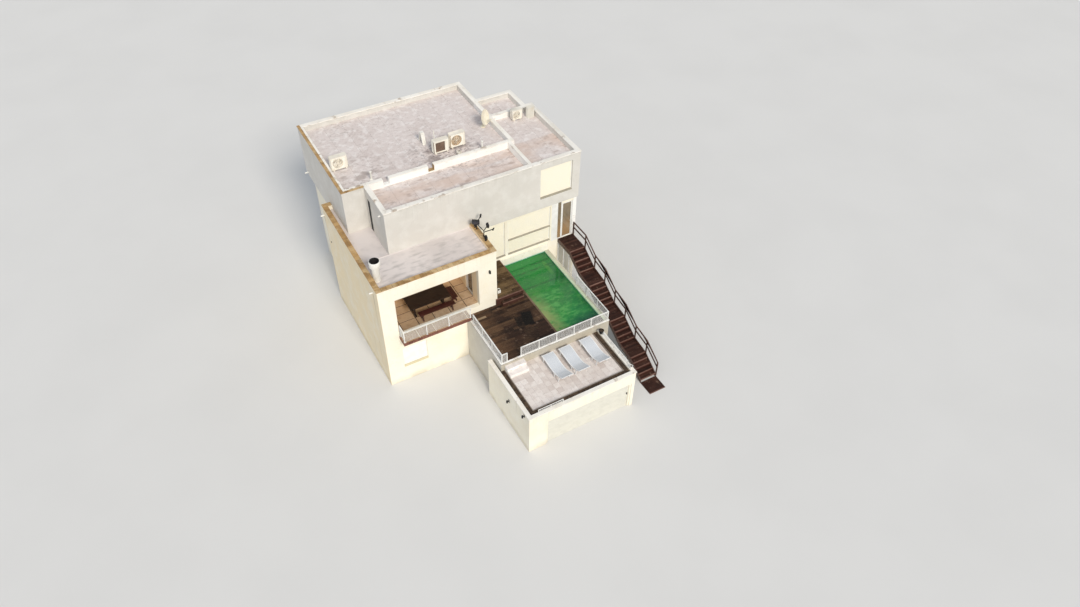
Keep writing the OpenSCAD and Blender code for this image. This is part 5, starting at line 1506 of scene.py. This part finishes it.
class BEACHHOUSE_OT_loggia(bpy.types.Operator):
    """Lays the loggia's slabs, the indoor tiles and the balcony's red edge, and builds the side wall."""
    bl_idname = "beach_house.loggia"
    bl_label = "Loggia and balcony"
    partition = 0.12

    def execute(self, context):
        s, z, indoor_tile = sizes(), L["living"] - SLAB, 0.45
        softened("living_floor", "grout", 0.0, change=lowered(L["living"], SLAB))
        x0, x1 = L["wing_left"] + WALL, L["wing_right"] - WALL
        y0, y1 = L["wing_front"] + WALL, L["upper_front"]
        wall, (balcony, high) = L["loggia_right"], corner("balcony_slab")
        slab = (s.loggia_slab_length, s.loggia_slab_width, s.loggia_joint)
        quads = tiles(x0, wall, y0, y1, z, *slab) + tiles(wall + self.partition, x1, y0, y1, z, *slab)
        quads += tiles(balcony.x, high.x, balcony.y, y0 - s.loggia_joint, z, *slab)
        laid("loggia_slabs", quads, SLAB, "loggia", 0.001, 0.002, 17)
        indoor = tiles(L["main_left"] + WALL, L["right"] - WALL, L["facade"] + 0.21, L["facade"] + 3.6,
                       z, indoor_tile, indoor_tile, 0.005)
        laid("indoor_tiles", indoor, SLAB, "indoor", 0.0, 0.001, 18)
        self.edge(balcony)
        self.side_wall(wall, y0, y1, z)
        return {"FINISHED"}

    def side_wall(self, x, y0, y1, z):
        """The wall on the loggia's right, in line with the opening's jamb, and its glazed door."""
        near, far, head, top = y0 + 0.54, y0 + 1.38, z + 2.16, L["loggia_ceiling"]
        outline = [(y0, z), (near, z), (near, head), (far, head), (far, z), (y1, z), (y1, top), (y0, top)]
        # The side wall takes the render painted tan as warm bounced light.
        shaped("loggia_side_wall", lambda bm: prism(bm, outline, x, x + self.partition),
               "tan_loggia")
        field = (near + 0.12, far - 0.20, z + 0.12, head - 0.13)

        def door(bm):
            casement(bm, x + 0.02, x + 0.09, (near, far, z, head),
                     (near + 0.05, far - 0.05, z + 0.02, head - 0.05))
            casement(bm, x + 0.03, x + 0.075,
                     (near + 0.053, far - 0.053, z + 0.023, head - 0.053), field)
        shaped("loggia_side_door", door, "aluminium", rounding=0.003)
        shaped("loggia_side_door_glass", lambda bm: cuboid(bm, x + 0.048, x + 0.056, *field),
               "glass")

    def edge(self, slab):
        """Brick-red tiles on edge around the balcony, each about 0.25 m long, from its slab's corner."""
        tile, gap = 0.25, 0.005
        base, top = corner("balcony_edge")
        across, back = round((top.x - base.x) / tile), round((top.y - slab.y) / tile)
        quads = line(base.x, top.x, base.y, slab.y, base.z, across, gap)
        quads += line(base.x, slab.x, slab.y + gap, top.y + gap, base.z, back, gap, "Y")
        laid("balcony_edge_tiles", quads, top.z - base.z, "brick", 0.002, seed=23,
             replaces=("balcony_edge",))


class BEACHHOUSE_OT_furniture(bpy.types.Operator):
    """Varnishes the loggia's table and benches, glazes the plant pots and fills them with soil."""
    bl_idname = "beach_house.furniture"
    bl_label = "Furniture and pots"

    def execute(self, context):
        softened("dining_table", "table", 0.005)
        softened("dining_benches", "bench", 0.005)
        pots, high_up = solids("plant_pots"), 3.0
        base = next(Vector((low.x, high.y, low.z)) for low, high in pots if low.z > high_up)

        def shrunk(point):
            return base + (point - base) * 0.7

        def smaller(bm):
            for v in bm.verts:
                if v.co.z > high_up:
                    v.co = shrunk(v.co)
        black = Vector((3.995, -6.44, 2.75))
        softened("plant_pots", "white_pot black_pot", change=smaller,
                 choose=lambda f: (f.calc_center_median() - black).length < 0.4)
        for number, (low, high) in enumerate(pots):
            if low.z > high_up:
                low, high = shrunk(low), shrunk(high)
            middle, r = (low + high) / 2, (high.x - low.x) / 2 * 0.72
            bm = bmesh.new()
            bmesh.ops.create_circle(bm, cap_ends=True, cap_tris=True, segments=24, radius=r)
            bmesh.ops.translate(bm, verts=bm.verts, vec=(middle.x, middle.y, high.z - 0.03))
            obj = grown("potting_soil_%d" % (number + 1), "strewing", ended(bm, "potting_soil"), "soil",
                        density=1800.0, size=0.012, seed=number)
            keep(obj, HOUSE)
        return {"FINISHED"}


class BEACHHOUSE_OT_terrace(bpy.types.Operator):
    """Tiles the terrace on the garage, fills its planting strips and finishes its steps."""
    bl_idname = "beach_house.terrace"
    bl_label = "Terrace"

    def execute(self, context):
        s, z, strip, kerb, kerb_top, parapet = sizes(), L["terrace"], 0.24, 0.04, 0.06, 0.2
        x0, x1 = L["garage_left"] + parapet, L["garage_right"] - parapet
        y0, y1 = L["garage_front"] + parapet, L["deck_front"]
        softened("terrace_slab", "terrace_joint", change=lowered(z, SLAB))
        quads = tiles(x0 + strip + kerb, x1 - strip - kerb, y0 + strip + kerb, y1, z - SLAB,
                      s.terrace_tile, s.terrace_tile, s.joint * 0.7)
        laid("terrace_tiles", quads, SLAB, "terrace", 0.001, 0.002, 31)
        top = z + kerb_top - s.soil_depth
        beds = [rect(x0, x0 + strip, y0, y1, top), rect(x1 - strip, x1, y0, y1, top),
                rect(x0 + strip, x1 - strip, y0, y0 + strip, top)]
        soil = grown("planter_soil", "strewing", sheet_of("planter_soil", beds), "soil",
                     density=420.0, size=0.020, seed=9)
        keep(soil, HOUSE)
        softened("terrace_steps", "white_parapet terrace", 0.008, choose=facing("Z", 1))
        return {"FINISHED"}


def bed_rise(t):
    """The height of a lounger's bed above its seat, t metres from the foot end."""
    bend, head = 1.36, 0.64
    if t < bend:
        return 0.026 * math.sin(math.radians(360 * t / bend))
    return (t - bend) * math.tan(math.radians(26)) - 0.024 * math.sin(math.radians(180 * (t - bend) / head))


class BEACHHOUSE_OT_loungers(bpy.types.Operator):
    """Moulds the loungers' frames and stretches a woven sling between the rails of each."""
    bl_idname = "beach_house.loungers"
    bl_label = "Sun loungers"

    def execute(self, context):
        softened("lounger_frames", "plastic", 0.005, segments=3)
        for number, (low, high) in enumerate(solids("lounger_slings")):
            self.sling("lounger_sling_%d" % (number + 1), low, high, () if number else ("lounger_slings",))
        return {"FINISHED"}

    def sling(self, name, low, high, nodes):
        """One sling: it follows the bed's curve and sags a little between its rails."""
        long_steps, wide_steps, start = 64, 10, 0.034
        width, far = high.x - low.x, high.y - low.y
        bm = bmesh.new()
        weave = bm.loops.layers.uv.new("weave")
        rows, arc, at = [], 0.0, []
        for i in range(long_steps + 1):
            t = start + far * i / long_steps
            z = L["terrace"] + 0.30 + bed_rise(t) - 0.0125
            if i:
                arc += math.hypot(far / long_steps, z - rows[-1][0].co.z)
            at.append(arc)
            rows.append([bm.verts.new((low.x + width * u, high.y - (t - start), z - self.sag(u)))
                         for u in (j / wide_steps for j in range(wide_steps + 1))])
        for i in range(long_steps):
            for j in range(wide_steps):
                face = bm.faces.new((rows[i + 1][j], rows[i + 1][j + 1], rows[i][j + 1], rows[i][j]))
                for loop in face.loops:
                    loop[weave].uv = (loop.vert.co.x - low.x, at[i + (loop.vert in rows[i + 1])])
        bm.normal_update()
        if bm.faces[:][0].normal.z < 0:
            bmesh.ops.reverse_faces(bm, faces=bm.faces)
        bmesh.ops.solidify(bm, geom=bm.faces[:], thickness=0.0025)
        bmesh.ops.recalc_face_normals(bm, faces=bm.faces)
        mesh = ended(bm, name)
        smooth(mesh, 40)
        obj = keep(piece(name, mesh, "sling"), HOUSE, nodes)

    def sag(self, u):
        """How far the sling hangs below its rails, u of the way across."""
        return 0.007 * math.sin(math.pi * u)


# Fittings

class BEACHHOUSE_OT_air_units(bpy.types.Operator):
    """Finishes the air units on the roof: casings, fan blades, wire guards and screws."""
    bl_idname = "beach_house.air_units"
    bl_label = "Air units"

    def execute(self, context):
        units = sorted((u for u in solids("ac_units") if u[1].x - u[0].x > 0.6), key=lambda u: u[0].x)
        wells = []
        for low, high in units:
            width, tall = high.x - low.x - 0.045, high.z - low.z - 0.06
            wells.append((Vector((low.x + 0.4 * width, low.y + 0.02, low.z + 0.06 + tall / 2)), 0.4 * tall))

        def finish(f):
            c = f.calc_center_median()
            for kind, (middle, r) in zip((3, 1, 2, 3), wells):
                off = math.hypot(c.x - middle.x, c.z - middle.z)
                if off < r * 1.25 and middle.y + 0.004 < c.y < middle.y + 0.09:
                    return kind
            return 0
        softened("ac_units", "casing dark_well tan_well pale_well", choose=finish)
        blades = ("pale_fan", None, "tan_fan", "pale_fan")
        for number, ((low, high), (middle, r)) in enumerate(zip(units, wells)):
            if blades[number]:
                self.fan("fan_%d" % (number + 1), middle, r, blades[number])
            points = [(x, low.y + 0.018, z) for x in (low.x + 0.03, high.x - 0.075)
                      for z in (low.z + 0.10, high.z - 0.04)]
            screwed("air_unit_screws_%d" % (number + 1), points,
                    0.006, 0.004, (math.radians(90), 0, 0))
        return {"FINISHED"}

    def fan(self, name, middle, r, finish):
        """Three swept blades on a hub, behind a guard of wire rings and spokes."""
        def blades(bm):
            lathe(bm, [(0.001, -0.035), (0.06, -0.035), (0.066, -0.028), (0.06, 0.0), (0.001, 0.004)],
                  middle + Vector((0, 0.03, 0)), "Y", 24)
            for start in circle(3):
                rows = []
                for u in (i / 6 for i in range(7)):
                    radius = 0.055 + (r * 0.9 - 0.055) * u
                    half = 0.42 + 0.30 * u - 0.12 * u * u
                    rows.append([bm.verts.new(middle + Vector((
                        radius * math.cos(start + 0.35 * u + half * v), 0.038 + 0.014 * v,
                        radius * math.sin(start + 0.35 * u + half * v)))) for v in (-1, -0.5, 0, 0.5, 1)])
                faces = [bm.faces.new((a[j], a[j + 1], b[j + 1], b[j]))
                         for a, b in zip(rows, rows[1:]) for j in range(4)]
                bmesh.ops.solidify(bm, geom=faces, thickness=0.003)
        shaped(name + "_blades", blades, finish)

        def guard(bm):
            wire = 0.0022
            for k in range(1, 9):
                self.ring(bm, middle - Vector((0, 0.008, 0)), r * k / 8.2, wire)
            hub = middle - Vector((0, 0.005, 0))
            for a in circle(12)[:6]:
                spoke = Vector((math.cos(a), 0, math.sin(a))) * r
                rod(bm, hub - spoke, hub + spoke, wire)
        shaped(name + "_guard", guard, "casing")

    def ring(self, bm, centre, radius, wire):
        """A wire ring that faces the front."""
        loft(bm, [[centre + Vector((math.cos(a), 0, math.sin(a))) * (radius + wire * math.cos(b))
                   + Vector((0, wire * math.sin(b), 0)) for b in circle(5)] for a in circle(36)], True)


class BEACHHOUSE_OT_roof_fittings(bpy.types.Operator):
    """Finishes the dish, the vents, the flue with its sooty mouth, and the rain spouts."""
    bl_idname = "beach_house.roof_fittings"
    bl_label = "Roof fittings"

    def execute(self, context):
        softened("satellite_dish", "dish", 0.002, change=self.aim)
        softened("roof_vents", "white_metal", 0.003)
        low, high = corner("chimney_flue")
        middle = (low + high) / 2

        def sooty(f):
            c = f.calc_center_median()
            out = Vector((c.x - middle.x, c.y - middle.y, 0))
            inner = f.normal.x * out.x + f.normal.y * out.y < -1e-4
            mouth = c.z > high.z - 0.22 and out.length < 0.24
            return inner or mouth or (f.normal.z > 0.9 and c.z > high.z - 0.3 and out.length < 0.2)
        softened("chimney_flue", "white_metal soot", 0.003, choose=sooty)
        softened("rain_spouts", "white_metal", 0.003)
        return {"FINISHED"}

    def aim(self, bm):
        """Turns the dish on its mast to 15 degrees upwards and 38 degrees to the right, as photographed."""
        low, high = corner("satellite_dish")
        mast = Vector(((low.x + high.x) / 2, L["main_front"] + 2.4, low.z + 0.64))
        dish = [v for v in bm.verts if v.co.z > low.z + 0.035 and not (
            math.hypot(v.co.x - mast.x, v.co.y - mast.y) < 0.027 and v.co.z < mast.z + 0.02)]
        pivot = mast - Vector((0, 0.025, 0))
        bmesh.ops.rotate(bm, verts=dish, cent=pivot, matrix=turned("Z", 38) @ turned("X", 27))
        drop = max(0, max(v.co.z for v in dish) - high.z)
        bmesh.ops.translate(bm, verts=dish, vec=(0.009, -0.012, -drop))


class BEACHHOUSE_OT_lamps(bpy.types.Operator):
    """Finishes the wall lamps and floodlights, and sets the heads on masts and the lamp glass."""
    bl_idname = "beach_house.lamps"
    bl_label = "Outdoor lamps"

    def execute(self, context):
        softened("outdoor_lamps", "black_metal")
        foot = Vector((L["wing_right"], L["wing_front"], L["wing_top"]))

        def at(x, y, z, turn, tilt, size=1.0):
            """A head's place: its offset from the wing's right front corner, its turn, tilt and size."""
            return (Matrix.Translation(foot + Vector((x, y, z))) @ turned("Z", turn) @ turned("X", tilt)
                    @ Matrix.Scale(size, 4))
        lit = [at(-WALL / 2, y, 0.195, 75, 18) for y in (0.9, 2.1)]
        heads = [at(-0.12, 1.98, 0.48, -35, 8, 1.5), at(0.20, 2.10, 0.64, 60, 10, 0.75),
                 at(0.20, 1.33, 0.56, 75, 5, 1.05), at(0.50, 1.27, 0.24, 40, 15, 0.6)]

        def masts(bm):
            for path in (
                    [(-0.10, 1.95, -0.004), (-0.10, 1.95, 0.40), (-0.12, 2.03, 0.50)],
                    [(-0.10, 1.95, 0.38), (0.16, 2.10, 0.52), (0.22, 2.13, 0.60)],
                    [(-0.04, 1.27, -0.004), (-0.03, 1.27, 0.34), (0.18, 1.33, 0.50)],
                    [(-0.10, 1.95, 0.34), (-0.03, 1.27, 0.34)],
                    [(-0.03, 1.27, 0.25), (0.50, 1.29, 0.22)]):
                for a, b in zip(path, path[1:]):
                    rod(bm, foot + Vector(a), foot + Vector(b), 0.024, 12)
            plate = [(0.001, -0.002), (0.045, -0.002), (0.045, 0.010), (0.001, 0.012)]
            for x, y in ((-0.10, 1.95), (-0.04, 1.27)):
                lathe(bm, plate, foot + Vector((x, y, 0)), "Z", 24)
            for place in heads:
                known = set(bm.verts)
                prism(bm, [(-0.07, -0.085), (0.02, -0.07), (0.02, 0.07), (-0.07, 0.085)], -0.126, 0.126)
                for i in range(6):
                    cuboid(bm, -0.104 + 0.04 * i, -0.096 + 0.04 * i, 0.0205, 0.045, -0.06, 0.06)
                bmesh.ops.transform(bm, matrix=place, verts=[v for v in bm.verts if v not in known])
        shaped("floodlight_masts", masts, "black_metal", rounding=0.003)

        def lenses(bm):
            for place in lit + heads:
                made = cuboid(bm, -0.112, 0.112, -0.0745, -0.069, -0.072, 0.072)
                bmesh.ops.transform(bm, matrix=place, verts=made)
        shaped("floodlight_lenses", lenses, "lens", rounding=0.002)
        return {"FINISHED"}


# Stage

class BEACHHOUSE_OT_stage(bpy.types.Operator):
    """Sets the pale floor, the soft light and the camera at the photograph's angle."""
    bl_idname = "beach_house.stage"
    bl_label = "Stage"

    def execute(self, context):
        scene = context.scene
        bm = bmesh.new()
        bmesh.ops.create_grid(bm, x_segments=8, y_segments=8, size=160.0)
        bmesh.ops.translate(bm, verts=bm.verts, vec=(0, 0, -0.002))
        piece("studio_floor", ended(bm, "studio_floor"), "floor")
        world = bpy.data.worlds.new("soft_sky")
        world.use_nodes = True
        world.node_tree.nodes.clear()
        sky = add(world.node_tree, "ShaderNodeBackground", {"Color": linear("DDE6F2"), "Strength": 0.55})
        add(world.node_tree, "ShaderNodeOutputWorld", {"Surface": sky.outputs[0]})
        scene.world = world
        for name, power, wide, azimuth, height, code in (
                ("key_light", 2.58, 0.30, -2.0, 38.0, "FFF8EE"),
                ("fill_light", 0.5, 1.2, -75.0, 45.0, "F1F2F8")):
            lamp = bpy.data.lights.new(name, "SUN")
            lamp.energy, lamp.angle, lamp.color = power, wide, linear(code)[:3]
            sun = bpy.data.objects.new(name, lamp)
            scene.collection.objects.link(sun)
            a, e = math.radians(azimuth), math.radians(height)
            source = Vector((math.sin(a) * math.cos(e), -math.cos(a) * math.cos(e), math.sin(e)))
            sun.rotation_euler = source.to_track_quat("Z", "Y").to_euler()
        scene.view_settings.view_transform = "Standard"
        self.camera(scene)
        return {"FINISHED"}

    def camera(self, scene):
        """The camera, where the photograph's straight edges put it."""
        turn, down, roll = (math.radians(a) for a in (30.755, 45.024, 1.391))
        ahead = Vector((math.sin(turn) * math.cos(down), math.cos(turn) * math.cos(down), -math.sin(down)))
        right = Vector((math.cos(turn), -math.sin(turn), 0))
        up = right.cross(ahead)
        across = right * math.cos(roll) + up * math.sin(roll)
        upward = -right * math.sin(roll) + up * math.cos(roll)
        lens = bpy.data.cameras.new("photo_camera")
        lens.lens, lens.sensor_width, lens.clip_end = 27.99, 36.0, 500.0
        camera = bpy.data.objects.new("photo_camera", lens)
        scene.collection.objects.link(camera)
        camera.matrix_world = Matrix.Translation((-14.139, -30.584, 34.773)) @ Matrix(
            (across, upward, -ahead)).transposed().to_4x4()
        scene.camera = camera


# Add-on

OPERATORS = (
    BEACHHOUSE_OT_walls, BEACHHOUSE_OT_roofs, BEACHHOUSE_OT_copings, BEACHHOUSE_OT_decks,
    BEACHHOUSE_OT_stair, BEACHHOUSE_OT_railings, BEACHHOUSE_OT_pool, BEACHHOUSE_OT_shutters,
    BEACHHOUSE_OT_windows, BEACHHOUSE_OT_entrance, BEACHHOUSE_OT_garage_door,
    BEACHHOUSE_OT_loggia, BEACHHOUSE_OT_furniture, BEACHHOUSE_OT_terrace,
    BEACHHOUSE_OT_loungers, BEACHHOUSE_OT_air_units, BEACHHOUSE_OT_roof_fittings,
    BEACHHOUSE_OT_lamps, BEACHHOUSE_OT_stage,
)


class BEACHHOUSE_PT_panel(bpy.types.Panel):
    """The sizes, the colours and the pieces of the beach house."""
    bl_idname = "BEACHHOUSE_PT_panel"
    bl_label = "Beach house"
    bl_space_type = "VIEW_3D"
    bl_region_type = "UI"
    bl_category = "Beach house"

    def draw(self, context):
        for group in (context.scene.beach_house_sizes, context.scene.beach_house_colours):
            column = self.layout.column()
            for name in group.__annotations__:
                column.prop(group, name)
        for operator in OPERATORS:
            self.layout.operator(operator.bl_idname)


CLASSES = (BeachHouseSizes, BeachHouseColours) + OPERATORS + (BEACHHOUSE_PT_panel,)


def register():
    for kind in CLASSES:
        bpy.utils.register_class(kind)
    bpy.types.Scene.beach_house_sizes = PointerProperty(type=BeachHouseSizes)
    bpy.types.Scene.beach_house_colours = PointerProperty(type=BeachHouseColours)


def unregister():
    del bpy.types.Scene.beach_house_colours
    del bpy.types.Scene.beach_house_sizes
    for kind in reversed(CLASSES):
        bpy.utils.unregister_class(kind)


def main():
    """Registers the add-on and makes every piece."""
    register()
    for operator in OPERATORS:
        made = getattr(bpy.ops.beach_house, operator.bl_idname.split(".")[1])()
        if made != {"FINISHED"}:
            raise RuntimeError(operator.bl_label + " wasn't finished")
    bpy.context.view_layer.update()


if __name__ == "__main__":
    main()
